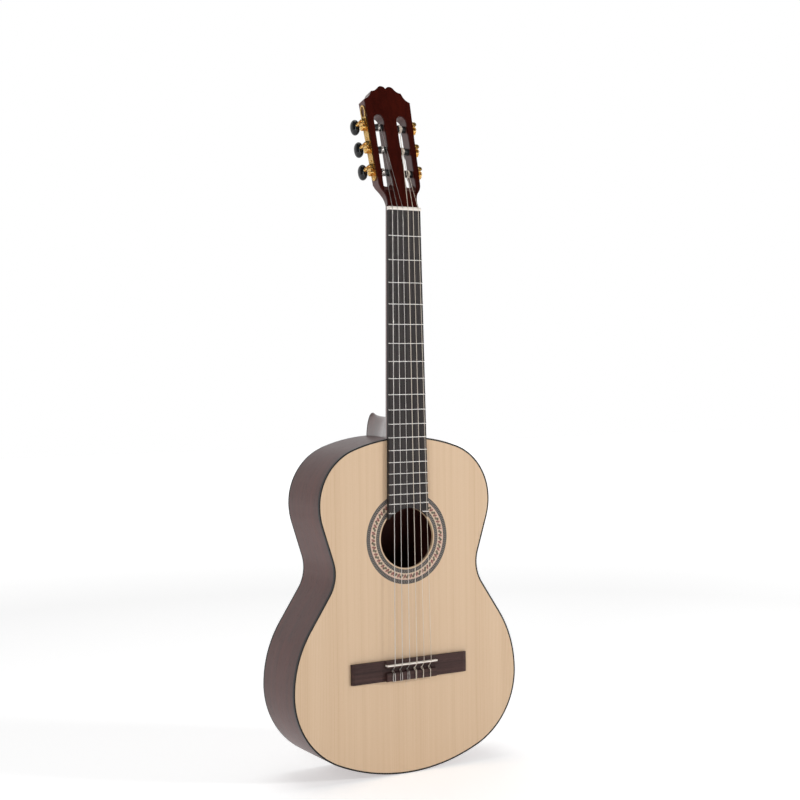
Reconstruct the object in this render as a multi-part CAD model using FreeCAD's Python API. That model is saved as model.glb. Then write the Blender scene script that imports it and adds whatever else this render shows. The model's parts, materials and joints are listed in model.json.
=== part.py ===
"""Classical guitar, built as its separate wooden, bone, nylon and metal pieces.

Frame, in millimetres: X to the treble side, Y from the soundboard to the back, Z up the neck.
The origin is the tail end of the soundboard's outer face, on the centre line.
"""
import FreeCAD, Part
import math
import os

V = FreeCAD.Vector
Rotation = FreeCAD.Rotation
Placement = FreeCAD.Placement

# ---------------------------------------------------------------- body outline and depth
BODY_LENGTH = 485.0
LOWER_WIDTH = 367.8
WAIST_WIDTH = 236.0
UPPER_WIDTH = 281.8
LOWER_STATION = 0.270        # height of each width, as a share of the body's length
WAIST_STATION = 0.611
UPPER_STATION = 0.806
TAIL_RADIUS = 279.5
TOP_RADIUS = 251.5
WAIST_RADIUS = 55.3
LOWER_FLANK = 55.5           # straight stretch between the lower bout and the waist
UPPER_FLANK = 52.0
DEPTH_TAIL = 102.8
DEPTH_HEEL = 99.6

# ---------------------------------------------------------------- plates, ribs and frame
TOP_T = 2.6
BACK_T = 2.8
RIB_T = 2.2
BINDING_H = 4.0              # height of the edge binding down the ribs
GLUE = 0.12                  # glue line between curved faces
LINING_W = 6.0
LINING_H = 14.0
BLOCK_WIDTH = 72.0
TAIL_BLOCK_T = 15.0
HEEL_BLOCK_T = 34.0
GRAFT_FRONT = 14.0           # width of the tail graft at the soundboard and at the back
GRAFT_BACK = 9.0
STRIP_WIDTH = 6.0            # centre strip of the back
SEAM_WIDTH = 16.0
SEAM_T = 2.0

# ---------------------------------------------------------------- sound hole, rosette, bracing
HOLE_RADIUS = 43.5
HOLE_BELOW_TOP = 145.5       # centre of the hole, below the top of the body
ROSETTE_BANDS = ((45.5, 51.0), (51.0, 60.5), (60.5, 66.5))
ROSETTE_T = 1.2
PATCH_RADIUS = 54.0
PATCH_T = 2.0
HARMONIC_OFFSET = 62.0       # harmonic bars above and below the hole's centre
HARMONIC_T = 7.0
HARMONIC_H = 17.0
FAN_COUNT = 7
FAN_SPACING = 40.0           # at the tail ends; the head ends stand at FAN_PINCH of it
FAN_PINCH = 0.42
FAN_W = 6.5
FAN_H = 4.5
FAN_TAIL_GAP = 50.0
FAN_TAIL_CURVE = 0.0014      # the outer bars start higher, by this times their offset squared
BACK_BRACE_AT = (0.25, 0.52, 0.80)
BACK_BRACE_T = 7.0
BACK_BRACE_H = 15.0

# ---------------------------------------------------------------- neck and fretboard
SCALE_LENGTH = 650.0
FRET_COUNT = 19
BOARD_T = 6.0
NUT_WIDTH = 52.0
JOINT_WIDTH = 62.0           # board width at the twelfth fret
NUT_T = 5.0
NUT_TOP = 8.7                # height of the nut above the soundboard's plane
SHAFT_NUT = 15.5             # wood of the neck behind the board, at the nut and at the heel
SHAFT_HEEL = 18.5
FRET_CROWN = 1.0
FRET_WIDTH = 2.2
TANG_W = 0.55
TANG_H = 1.8
TANG_PLAY = 0.04
BOARD_INTO_HOLE = 0.66       # straight end of the board, as a share of the hole's radius above its centre
HEEL_FOOT = 8.0              # neck wood that reaches past the body's edge before it is trimmed
HEEL_CAP_T = 2.4
# heel slices: share of the heel's depth, half width, height above the body's edge
HEEL_SLICES = ((0.05, 30.6, 62.0), (0.17, 27.0, 47.0), (0.32, 21.5, 34.0), (0.52, 16.0, 28.5),
               (0.78, 12.6, 29.0), (1.0, 11.0, 33.5))
ARCH_STEPS = 12              # points along an arched section
SHAFT_FULLNESS = 0.86        # 1 is an ellipse, and less is squarer

# ---------------------------------------------------------------- head
HEAD_TILT = 15.0
HEAD_T = 18.0                # whole head, headplate included
HEADPLATE_T = 2.0
HEAD_LOW_WIDTH = 68.6
HEAD_LOW_AT = 38.0
HEAD_TOP_WIDTH = 76.0
HEAD_TOP_AT = 165.0
ROOT_FLARE = ((-1.5, 11.0), (1.8, 22.5))    # outline under the head: out from the nut's end, up the face
HEAD_CHEEK = (1.7, 29.5)     # in from the head's low width, up the face
# crest of the head: in from its top corner and up from it, arc middles included
CREST = ((6.6, 3.6), (12.0, 11.4), (13.4, 13.8), (19.4, 15.3), (24.6, 19.6), (30.6, 22.8))
CREST_NOTCH = 18.9
# back of the head's root: place up the face, half width, fullness of the arch
ROOT_SECTIONS = ((0.0, NUT_WIDTH / 2, SHAFT_FULLNESS), (9.0, 25.6, 0.74), (18.0, 27.6, 0.58),
                 (27.0, 32.6, 0.42), (37.0, 37.6, 0.24))
SLOT_WIDTH = 16.5
SLOT_CENTRE = 18.7
SLOT_START = 33.0
SLOT_END = 142.5
RAMP_START = 22.0
RAMP_DEPTH = 14.0

# ---------------------------------------------------------------- bridge, saddle and strings
BRIDGE_LENGTH = 190.0
BRIDGE_ABOVE = 6.3           # bridge edges, measured from the saddle's centre line
BRIDGE_BELOW = 23.0
TIE_HALF = 41.0              # half length of the tie block and the saddle block
TIE_T = 12.0
TIE_TOP = 9.5
SADDLE_BLOCK_TOP = 8.4
CHANNEL_TOP = 4.2
CHANNEL_GAP = 2.0            # wood between the saddle's slot and the channel
TIE_BEVEL = 0.8
CHANNEL_BEVEL = 0.6
SADDLE_BLOCK_BEVEL = 1.2
WING_INNER = 4.6
WING_TIP = 3.0
WING_BEVEL = 5.0
SADDLE_LENGTH = 82.0
SADDLE_T = 2.5
SADDLE_TOP = 12.5
SADDLE_SEAT = 4.6
TIE_HOLE_Y = 4.7
TIE_HOLE_R = 1.0
STRING_DIAMETERS = (0.72, 0.82, 1.03, 0.76, 0.90, 1.10)
SADDLE_SPACING = 12.0
NUT_SPACING = 8.5
NUT_SLOT = 7.7               # bottom of the nut's slots above the soundboard's plane
NUT_BACK_FALL = 0.46         # slope of the nut's back half, steeper than the strings
TOUCH = 0.02                 # clearance round a string or a shank in its seat
SADDLE_LIFT = 0.12           # room for the string's bend over the saddle
STRAND_GAP = 1.3             # a tied strand lies this far beside its own string
STRAND_CLEAR = 4 * TOUCH     # between a strand and the tie block
STRAND_END = 1.6             # free end of a bass strand, above the block's lower edge
STRAND_FRONT = 0.9           # a strand turns back this far inside the block's upper edge
STRAND_BELOW = 0.3
HOLE_EXIT = 2.2              # straight run of a string above its hole
STRING_BEND = 2.4            # tightest bend, in radii of the string
NUT_BEND = 1.2
HEAD_BEND = 8.0

# ---------------------------------------------------------------- tuning machines
ROLLER_MIDDLE = 90.0         # middle roller, up the head's face
ROLLER_PITCH = 35.0
ROLLER_R = 5.0
ROLLER_DEPTH = 9.0
ROLLER_IN_WEB = 6.0
ROLLER_FIT = 0.08            # running clearance in the head's middle web
SIDE_HOLE_PLAY = 0.4
COIL_TURNS = 4
COIL_PLAY = 0.06
COIL_AT = (9.8, 5.0, 4.6)    # first turn, measured from the slot's inner wall, lowest roller first
PLATE_T = 1.5
PLATE_WIDTH = 13.0
PLATE_TAIL = 13.0            # plate below the lowest roller and above the highest
PLATE_NECK = 14.0
LYRE_HALF = 10.5
LYRE_WIDTH = 13.5
LYRE_RIM = 2.3
LYRE_LAP = 1.5
SPINDLE_R = 3.0
SPINDLE_LENGTH = 18.0
SHAFT_FIT = 0.05
COG_TEETH = 14
COG_TIP_R = 6.1
COG_ROOT_R = 4.5
COG_T = 4.0
COG_GAP = 2.0                # cog above the plate
END_PLAY = 0.3               # along a shaft, between a turning piece and what holds it
COLLAR_RIM = 1.0
TOOTH_SINK = 0.6             # root of a tooth, inside the cog's body
TOOTH_TIP = 0.8
TOOTH_ROOT = 1.25
WORM_LEAD = 2.513            # one tooth of the cog per turn of the worm
WORM_CENTRE = 8.2            # between the axes of cog and worm
WORM_TIP_R = 3.2
WORM_CORE_R = 1.9
WORM_LENGTH = 7.2
THREAD_TIP = 0.5
THREAD_ROOT = 1.0
STEM_R = 1.6
STEM_PAST_EAR = 0.6
THREAD_SINK = 0.3            # root of the thread, inside the worm's core
THREAD_END = 0.1
EAR_T = 1.6
EAR_R = 3.2
EAR_FLAT = 0.2               # ear cut flat on the side of the cog
BUTTON_SIZE = (12.0, 18.0, 23.0)
BUTTON_START = 22.0          # depth where the button begins, behind the head's face
BUTTON_BORE = 8.0
BUTTON_SEAT = 0.5            # cut from the oval, so that it stands on the ferrule
FERRULE_R = 3.0
FERRULE_STEP = 0.8
FERRULE_LIP = 1.8
STRING_HOLE_R = 0.9          # hole for the string, in the roller's bare end
STRING_HOLE_AT = 2.0
SCREW_HEAD_R = 1.7
SCREW_R = 1.0
SCREW_LENGTH = 8.0
BLIND_ROOM = 0.5             # room past the end of a screw or a spindle in its hole
SCREW_SHARES = (0.52, 0.48)  # inner screws, as shares of the pitch below and above the middle roller
SCREW_FROM_TAIL = 4.0
SCREW_FROM_LYRE = 1.5
COG_SCREW_R = 2.2
COG_SCREW_LENGTH = 7.5
COG_SCREW_BORE = 8.0

# ---------------------------------------------------------------- derived places
NUT_Z = BODY_LENGTH + SCALE_LENGTH / 2
SADDLE_Z = NUT_Z - SCALE_LENGTH
HOLE_Z = BODY_LENGTH - HOLE_BELOW_TOP
BACK_TAPER = math.degrees(math.atan2(DEPTH_TAIL - DEPTH_HEEL, BODY_LENGTH))
SIDE_SLOPE = math.atan2((HEAD_TOP_WIDTH - HEAD_LOW_WIDTH) / 2, HEAD_TOP_AT - HEAD_LOW_AT)
SIDE_X = HEAD_LOW_WIDTH / 2 + math.tan(SIDE_SLOPE) * (ROLLER_MIDDLE - HEAD_LOW_AT)
COG_CENTRE_X = PLATE_T + COG_GAP + COG_T / 2
FAR = 400.0                  # larger than any piece that it cuts

# The head's own frame: X as the guitar's, Y into the wood from the face, Z up the face.
HEAD = Placement(V(0, -HEADPLATE_T, NUT_Z + NUT_T), Rotation(V(1, 0, 0), -HEAD_TILT))
# A machine's frame on the treble side: X out of the head's side, Z up the side, at the middle roller.
SIDE = HEAD * Placement(V(SIDE_X, 0, ROLLER_MIDDLE), Rotation(V(0, 1, 0), math.degrees(SIDE_SLOPE)))
# The back's frame: Y out of the back, starting at the tail.
BACK = Placement(V(0, DEPTH_TAIL, 0), Rotation(V(1, 0, 0), BACK_TAPER))


# ---------------------------------------------------------------- small helpers
def box(x0, x1, y0, y1, z0, z1):
    return Part.makeBox(x1 - x0, y1 - y0, z1 - z0, V(x0, y0, z0))


def both_sides(shape):
    """A shape and its mirror image across the centre line."""
    return [shape, shape.mirror(V(0, 0, 0), V(1, 0, 0))]


def placed(shape, placement):
    return shape.transformed(placement.toMatrix())


def arc(centre, radius, start, end):
    """Arc in the XZ plane; angles in radians from +X towards +Z."""
    def at(angle):
        return V(centre[0] + radius * math.cos(angle), 0, centre[1] + radius * math.sin(angle))
    return Part.Arc(at(start), at((start + end) / 2), at(end)).toShape()


def line(start, end):
    return Part.LineSegment(V(start), V(end)).toShape()


def symmetric_face(edges):
    """Face bounded by right-hand edges, given from the bottom to the top, and their mirror."""
    mirrored = [edge.mirror(V(0, 0, 0), V(1, 0, 0)) for edge in edges]
    ends = []
    for side in (edges, mirrored):
        points = [vertex.Point for edge in side for vertex in edge.Vertexes]
        ends.append((min(points, key=lambda p: p.z), max(points, key=lambda p: p.z)))
    joined = list(edges) + mirrored
    for right, left in zip(*ends):
        if right.distanceToPoint(left) > 1e-6:
            joined.append(line(right, left))
    return Part.Face(Part.Wire(Part.__sortEdges__(joined)))


def polygon_prism(points, direction):
    wire = Part.makePolygon([V(*p) for p in points] + [V(*points[0])])
    return Part.Face(wire).extrude(V(*direction))


# ---------------------------------------------------------------- body outline
def flank_radius(reach, rise, flank):
    """Radius of the bout arc that leaves a straight flank of this length before the waist arc."""
    return (reach ** 2 + rise ** 2 - WAIST_RADIUS ** 2 - flank ** 2) / (2 * (WAIST_RADIUS - reach))


def corner_radius(half_width, rise, end_radius):
    """Radius of the arc that joins the widest point of a bout to the end arc."""
    top = half_width ** 2 + rise ** 2 - 2 * end_radius * rise
    return top / (2 * (half_width - end_radius))


def body_edges(inset):
    """Right half of the body's outline, moved inwards by inset, from the tail to the top."""
    low, waist, up = LOWER_WIDTH / 2, WAIST_WIDTH / 2, UPPER_WIDTH / 2
    low_z = LOWER_STATION * BODY_LENGTH
    waist_z = WAIST_STATION * BODY_LENGTH
    up_z = UPPER_STATION * BODY_LENGTH
    tail_r = corner_radius(low, low_z, TAIL_RADIUS)
    low_r = flank_radius(waist + WAIST_RADIUS - low, waist_z - low_z, LOWER_FLANK)
    up_r = flank_radius(waist + WAIST_RADIUS - up, up_z - waist_z, UPPER_FLANK)
    shoulder_r = corner_radius(up, BODY_LENGTH - up_z, TOP_RADIUS)
    tail_c = (0, TAIL_RADIUS)
    corner_c = (low - tail_r, low_z)
    low_c = (low - low_r, low_z)
    waist_c = (waist + WAIST_RADIUS, waist_z)
    up_c = (up - up_r, up_z)
    shoulder_c = (up - shoulder_r, up_z)
    top_c = (0, BODY_LENGTH - TOP_RADIUS)

    def bearing(origin, target):
        return math.atan2(target[1] - origin[1], target[0] - origin[0])

    def flank_angle(centre, radius, turn):
        reach = math.dist(centre, waist_c)
        return bearing(centre, waist_c) + turn * math.acos((radius + WAIST_RADIUS) / reach)

    def point(centre, radius, angle):
        return V(centre[0] + radius * math.cos(angle), 0, centre[1] + radius * math.sin(angle))

    tail_a = bearing(tail_c, corner_c)
    low_a = flank_angle(low_c, low_r, -1)
    up_a = flank_angle(up_c, up_r, 1)
    top_a = bearing(top_c, shoulder_c)
    waist_r = WAIST_RADIUS + inset
    return [
        arc(tail_c, TAIL_RADIUS - inset, -math.pi / 2, tail_a),
        arc(corner_c, tail_r - inset, tail_a, 0),
        arc(low_c, low_r - inset, 0, low_a),
        line(point(low_c, low_r - inset, low_a), point(waist_c, waist_r, low_a + math.pi)),
        arc(waist_c, waist_r, low_a + math.pi, up_a + math.pi),
        line(point(waist_c, waist_r, up_a + math.pi), point(up_c, up_r - inset, up_a)),
        arc(up_c, up_r - inset, up_a, 0),
        arc(shoulder_c, shoulder_r - inset, 0, top_a),
        arc(top_c, TOP_RADIUS - inset, top_a, math.pi / 2),
    ]


def body_prism(inset, y0, y1):
    face = symmetric_face(body_edges(inset))
    face.translate(V(0, y0, 0))
    return face.extrude(V(0, y1 - y0, 0))


def ring(outer, inner, y0, y1):
    return body_prism(outer, y0, y1).cut(body_prism(inner, y0 - 1, y1 + 1))


def under_back(near, far):
    """Space between two planes parallel to the back, at these depths below its outer face."""
    return placed(box(-FAR, FAR, -far, -near, -FAR, 2 * FAR), BACK)


def halves(shape):
    """The bass half and the treble half of a shape."""
    return (shape.common(box(-FAR, 0, -FAR, FAR, -FAR, 2 * FAR)),
            shape.common(box(0, FAR, -FAR, FAR, -FAR, 2 * FAR)))


# ---------------------------------------------------------------- sound box
def hole_disc(radius, y0, y1):
    return Part.makeCylinder(radius, y1 - y0, V(0, y0, HOLE_Z), V(0, 1, 0))


def hole_ring(inner, outer, y0, y1):
    return hole_disc(outer, y0, y1).cut(hole_disc(inner, y0 - 1, y1 + 1))


def soundboard():
    plate = body_prism(RIB_T + GLUE, 0, TOP_T).cut(hole_disc(HOLE_RADIUS, -1, TOP_T + 1))
    return plate.cut(hole_ring(ROSETTE_BANDS[0][0], ROSETTE_BANDS[-1][1], -1, ROSETTE_T))


def rosette():
    bands = [hole_ring(inner, outer, 0, ROSETTE_T) for inner, outer in ROSETTE_BANDS]
    return Part.makeCompound([band.cut(board_plan(0, ROSETTE_T)) for band in bands])


def graft_wedge():
    front, back = GRAFT_FRONT / 2, GRAFT_BACK / 2
    corners = ((-front, 0, -1), (front, 0, -1), (back, DEPTH_TAIL, -1), (-back, DEPTH_TAIL, -1))
    return polygon_prism(corners, (0, 0, TAIL_BLOCK_T))


def ribs_ring():
    return ring(0, RIB_T, BINDING_H, DEPTH_TAIL).common(under_back(BINDING_H, DEPTH_TAIL))


def top_lining():
    strip = ring(RIB_T + GLUE, RIB_T + LINING_W, TOP_T, TOP_T + LINING_H)
    return strip.cut(Part.makeCompound([block_space(), bars_space()]))


def back_lining():
    strip = ring(RIB_T + GLUE, RIB_T + LINING_W, TOP_T, DEPTH_TAIL)
    strip = strip.common(under_back(BACK_T, BACK_T + LINING_H))
    return strip.cut(Part.makeCompound([block_space(), back_braces_space()]))


def block_boxes():
    half = BLOCK_WIDTH / 2
    inner_top = BODY_LENGTH - RIB_T
    return (box(-half, half, TOP_T, DEPTH_TAIL, -1, RIB_T + TAIL_BLOCK_T),
            box(-half, half, TOP_T, DEPTH_TAIL, inner_top - HEEL_BLOCK_T, inner_top + 5))


def block_space():
    return Part.makeCompound(list(block_boxes()))


def end_blocks():
    """Tail block and heel block, shaped to the inside of the ribs."""
    inside = body_prism(RIB_T + GLUE, TOP_T, DEPTH_TAIL).common(under_back(BACK_T, DEPTH_TAIL))
    return [blank.common(inside) for blank in block_boxes()]


def harmonic_blanks():
    blanks = []
    for centre in (HOLE_Z - HARMONIC_OFFSET, HOLE_Z + HARMONIC_OFFSET):
        low, high = centre - HARMONIC_T / 2, centre + HARMONIC_T / 2
        blanks.append(box(-FAR, FAR, TOP_T, TOP_T + HARMONIC_H, low, high))
    return blanks


def bars_space():
    return Part.makeCompound(harmonic_blanks())


def harmonic_bars():
    inside = body_prism(RIB_T + GLUE, TOP_T, DEPTH_TAIL)
    return Part.makeCompound([blank.common(inside) for blank in harmonic_blanks()])


def fan_braces():
    """Fan of light bars under the lower bout, from the tail lining to the lower harmonic bar."""
    inside = body_prism(RIB_T + LINING_W + 1, TOP_T, TOP_T + FAN_H)
    top_z = HOLE_Z - HARMONIC_OFFSET - HARMONIC_T / 2 - 1
    bars = []
    for index in range(FAN_COUNT):
        place = index - (FAN_COUNT - 1) / 2
        low_x = place * FAN_SPACING
        high_x = low_x * FAN_PINCH
        tail = FAN_TAIL_GAP + FAN_TAIL_CURVE * low_x ** 2
        half = FAN_W / 2
        corners = ((low_x - half, TOP_T, tail), (low_x + half, TOP_T, tail),
                   (high_x + half, TOP_T, top_z), (high_x - half, TOP_T, top_z))
        bars.append(polygon_prism(corners, (0, FAN_H, 0)).common(inside))
    return Part.makeCompound(bars)


def back_brace_blanks():
    blanks = []
    for share in BACK_BRACE_AT:
        middle = share * BODY_LENGTH
        blanks.append(box(-FAR, FAR, 0, DEPTH_TAIL, middle - BACK_BRACE_T / 2, middle + BACK_BRACE_T / 2))
    return blanks


def back_braces_space():
    layer = under_back(BACK_T, BACK_T + BACK_BRACE_H)
    return Part.makeCompound([blank.common(layer) for blank in back_brace_blanks()])


def back_braces():
    inside = body_prism(RIB_T + GLUE, TOP_T, DEPTH_TAIL)
    return back_braces_space().common(inside)


def back_seam_strip():
    low = RIB_T + TAIL_BLOCK_T
    high = BODY_LENGTH - RIB_T - HEEL_BLOCK_T
    strip = box(-SEAM_WIDTH / 2, SEAM_WIDTH / 2, 0, DEPTH_TAIL, low, high)
    strip = strip.common(under_back(BACK_T, BACK_T + SEAM_T))
    return strip.cut(back_braces_space())


def back_plates():
    """Bass half, treble half and the strip between them."""
    plate = body_prism(RIB_T + GLUE, 0, DEPTH_TAIL + 1).common(under_back(0, BACK_T))
    half = STRIP_WIDTH / 2
    middle = box(-half, half, 0, FAR, -FAR, 2 * FAR)
    bass, treble = halves(plate.cut(middle))
    return bass, treble, plate.common(middle)


# ---------------------------------------------------------------- neck, head and board
def board_half(z):
    """Half width of the fretboard at this height."""
    run = (NUT_Z - z) / (NUT_Z - BODY_LENGTH)
    return (NUT_WIDTH + (JOINT_WIDTH - NUT_WIDTH) * run) / 2


def board_plan(y0, y1):
    """The fretboard's plan, from the nut to the edge of the sound hole."""
    end = HOLE_Z
    corners = ((-board_half(end), y0, end), (board_half(end), y0, end),
               (NUT_WIDTH / 2, y0, NUT_Z), (-NUT_WIDTH / 2, y0, NUT_Z))
    plan = polygon_prism(corners, (0, y1 - y0, 0))
    plan = plan.cut(box(-FAR, FAR, y0 - 1, y1 + 1, -FAR, HOLE_Z + HOLE_RADIUS * BOARD_INTO_HOLE))
    return plan.cut(hole_disc(HOLE_RADIUS, y0 - 1, y1 + 1))


def fret_z(number):
    return NUT_Z - SCALE_LENGTH * (1 - 2 ** (-number / 12))


def fretboard():
    board = board_plan(-BOARD_T, 0)
    half = TANG_W / 2 + TANG_PLAY
    depth = TANG_H + TANG_PLAY
    slots = [box(-FAR, FAR, -BOARD_T - 1, -BOARD_T + depth, fret_z(n) - half, fret_z(n) + half)
             for n in range(1, FRET_COUNT + 1)]
    return board.cut(Part.makeCompound(slots))


def fret_profile(z):
    """Cross-section of a fret: a low arched crown over a tang."""
    top, half, tang = -BOARD_T, FRET_WIDTH / 2, TANG_W / 2
    crown = Part.Arc(V(0, top, z - half), V(0, top - FRET_CROWN, z), V(0, top, z + half)).toShape()
    points = [(0, top, z + half), (0, top, z + tang), (0, top + TANG_H, z + tang),
              (0, top + TANG_H, z - tang), (0, top, z - tang), (0, top, z - half)]
    lines = [line(V(*a), V(*b)) for a, b in zip(points, points[1:])]
    return Part.Face(Part.Wire([crown] + lines))


def frets():
    plan = board_plan(-BOARD_T - FRET_CROWN - 1, 0)
    wires = []
    for number in range(1, FRET_COUNT + 1):
        profile = fret_profile(fret_z(number))
        profile.translate(V(-FAR / 4, 0, 0))
        wires += profile.extrude(V(FAR / 2, 0, 0)).common(plan).Solids
    return Part.makeCompound(wires)


def arch_wire(half_width, height, centre, sideways, upwards, fullness=1.0):
    """Closed wire: a flat base and a smooth arch over it, given by two direction vectors."""
    points = []
    for step in range(ARCH_STEPS + 1):
        angle = math.pi * step / ARCH_STEPS
        across = math.copysign(abs(math.cos(angle)) ** fullness, math.cos(angle)) * half_width
        rise = math.sin(angle) ** fullness * height
        points.append(centre + sideways * across + upwards * rise)
    curve = Part.BSplineCurve()
    curve.interpolate(points)
    return Part.Wire([curve.toShape(), line(points[-1], points[0])])


def neck_shaft():
    sections = []
    for z, depth in ((BODY_LENGTH - HEEL_FOOT, SHAFT_HEEL), (NUT_Z + NUT_T + 2, SHAFT_NUT)):
        half = board_half(min(z, NUT_Z))
        sections.append(arch_wire(half, depth, V(0, 0, z), V(1, 0, 0), V(0, 1, 0), SHAFT_FULLNESS))
    return Part.makeLoft(sections, True, True)


def heel():
    """Heel: arch-shaped slices that narrow towards the back and lean out again at the cap."""
    back = DEPTH_HEEL - HEEL_CAP_T
    slices = []
    for share, half, height in HEEL_SLICES:
        centre = V(0, share * back, BODY_LENGTH - HEEL_FOOT)
        slices.append(arch_wire(half, height + HEEL_FOOT, centre, V(1, 0, 0), V(0, 0, 1)))
    return Part.makeLoft(slices, True, False), slices[-1]


def head_edges():
    """Right half of the head's outline, from the nut to the notch of its crest."""
    low, top = HEAD_LOW_WIDTH / 2, HEAD_TOP_WIDTH / 2
    root = NUT_WIDTH / 2
    dip, flare = [(root + out, along) for out, along in ROOT_FLARE]
    cheek, jaw, corner = (low - HEAD_CHEEK[0], HEAD_CHEEK[1]), (low, HEAD_LOW_AT), (top, HEAD_TOP_AT)
    crest = [(top - inward, HEAD_TOP_AT + up) for inward, up in CREST]

    def through(*points):
        return Part.Arc(*[V(x, 0, z) for x, z in points]).toShape()

    def straight(*points):
        return line(*[V(x, 0, z) for x, z in points])

    return [
        through((root, 0), dip, flare),
        through(flare, cheek, jaw),
        straight(jaw, corner),
        through(corner, crest[0], crest[1]),
        straight(crest[1], crest[2]),
        through(crest[2], crest[3], crest[4]),
        through(crest[4], crest[5], (0, HEAD_TOP_AT + CREST_NOTCH)),
    ]


def head_prism(d0, d1):
    face = symmetric_face(head_edges())
    face.translate(V(0, d0, 0))
    return face.extrude(V(0, d1 - d0, 0))


def neck_root():
    """Wood under the nut: the neck's round section swelling into the head's square one."""
    base = HEADPLATE_T / 2
    sections = []
    for along, half, fullness in ROOT_SECTIONS:
        sections.append(arch_wire(half, HEAD_T - base, V(0, base, along), V(1, 0, 0), V(0, 1, 0), fullness))
    return head_prism(HEADPLATE_T, HEAD_T).common(Part.makeLoft(sections, True, False))


def head_slots():
    """Both string slots with their round ends, and the ramps that lead the strings in."""
    radius = SLOT_WIDTH / 2
    low, high = SLOT_START + radius, SLOT_END - radius
    slot = box(SLOT_CENTRE - radius, SLOT_CENTRE + radius, -5, HEAD_T + 5, low, high)
    for end in (low, high):
        slot = slot.fuse(Part.makeCylinder(radius, HEAD_T + 10, V(SLOT_CENTRE, -5, end), V(0, 1, 0)))
    left = SLOT_CENTRE - radius
    ramp = polygon_prism(((left, -1, RAMP_START - 1), (left, RAMP_DEPTH, low + 4), (left, -1, low + 4)),
                         (SLOT_WIDTH, 0, 0))
    return Part.makeCompound(both_sides(slot.fuse(ramp)))


def roller_holes():
    """Clearance holes in the head's sides and bearing holes in its middle web."""
    holes = []
    web = SLOT_CENTRE - SLOT_WIDTH / 2
    for along in roller_places():
        start = V(-SIDE_X + web - ROLLER_IN_WEB, ROLLER_DEPTH, along)
        holes.append(Part.makeCylinder(ROLLER_R + ROLLER_FIT, SIDE_X, start, V(1, 0, 0)))
        wide = ROLLER_R + SIDE_HOLE_PLAY
        middle = V(-SIDE_X + SLOT_CENTRE, ROLLER_DEPTH, along)
        holes.append(Part.makeCylinder(wide, SIDE_X, middle, V(1, 0, 0)))
    right = placed(Part.makeCompound(holes), SIDE)
    return Part.makeCompound(both_sides(right))


def roller_places():
    return (-ROLLER_PITCH, 0.0, ROLLER_PITCH)


def neck():
    root_end = ROOT_SECTIONS[-1][0]
    head = head_prism(HEADPLATE_T, HEAD_T).cut(box(-FAR, FAR, 0, FAR, -FAR, root_end))
    head = placed(head.fuse(neck_root()).cut(head_slots()), HEAD)
    heel_solid, _ = heel()
    wood = neck_shaft().fuse(heel_solid)
    wood = wood.cut(body_prism(-GLUE, -1, DEPTH_TAIL + 5))
    wood = wood.cut(placed(box(-FAR, FAR, -FAR, HEADPLATE_T, -3, FAR), HEAD))
    wood = wood.fuse(head).cut(box(-FAR, FAR, -FAR, 0, 0, NUT_Z + NUT_T))
    wood = wood.cut(roller_holes())
    wood = wood.cut(plate_screw_holes())
    return wood.removeSplitter()


def heel_cap():
    _, last = heel()
    cap = Part.Face(last).extrude(V(0, HEEL_CAP_T, 0))
    return cap.cut(body_prism(-GLUE, -1, DEPTH_TAIL + 5))


def headplate():
    plate = head_prism(0, HEADPLATE_T).cut(head_slots())
    return placed(plate, HEAD).cut(box(-FAR, FAR, -FAR, FAR, 0, NUT_Z + NUT_T))


# ---------------------------------------------------------------- nut, bridge and saddle
def string_x(number, spacing):
    """Place of a string across the neck; string 1 is the thinnest, on the treble side."""
    return (3.5 - number) * spacing


def saddle_point(number):
    """Centre of a string where it crosses the saddle."""
    height = SADDLE_TOP + STRING_DIAMETERS[number - 1] / 2 + SADDLE_LIFT
    return V(string_x(number, SADDLE_SPACING), -height, SADDLE_Z)


def nut_point(number):
    """Centre of a string where it turns down over the nut."""
    height = NUT_SLOT + STRING_DIAMETERS[number - 1] / 2 + TOUCH
    return V(string_x(number, NUT_SPACING), -height, NUT_Z + NUT_T / 2)


def nut():
    block = box(-NUT_WIDTH / 2, NUT_WIDTH / 2, -NUT_TOP, 0, NUT_Z, NUT_Z + NUT_T)
    middle_z = NUT_Z + NUT_T / 2
    slots = []
    for number, diameter in enumerate(STRING_DIAMETERS, 1):
        radius = diameter / 2 + TOUCH
        middle = nut_point(number)
        ahead = (saddle_point(number) - middle).normalize()
        slots.append(Part.makeCylinder(radius, 2 * NUT_T, middle - ahead * NUT_T, ahead))
        mouth = radius + TOUCH
        slots.append(box(middle.x - mouth, middle.x + mouth, -FAR, middle.y, NUT_Z - 1, middle_z + 1))
    fall = NUT_BACK_FALL * NUT_T / 2
    high, back = -NUT_TOP - 1, NUT_Z + NUT_T
    corners = ((-FAR, -NUT_SLOT, middle_z), (-FAR, high, middle_z), (-FAR, high, back + 1),
               (-FAR, -NUT_SLOT + fall, back + 1), (-FAR, -NUT_SLOT + fall, back))
    slope = polygon_prism(corners, (2 * FAR, 0, 0))
    return block.cut(Part.makeCompound(slots)).cut(slope)


def tie_block_low():
    return SADDLE_Z - BRIDGE_BELOW


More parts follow.
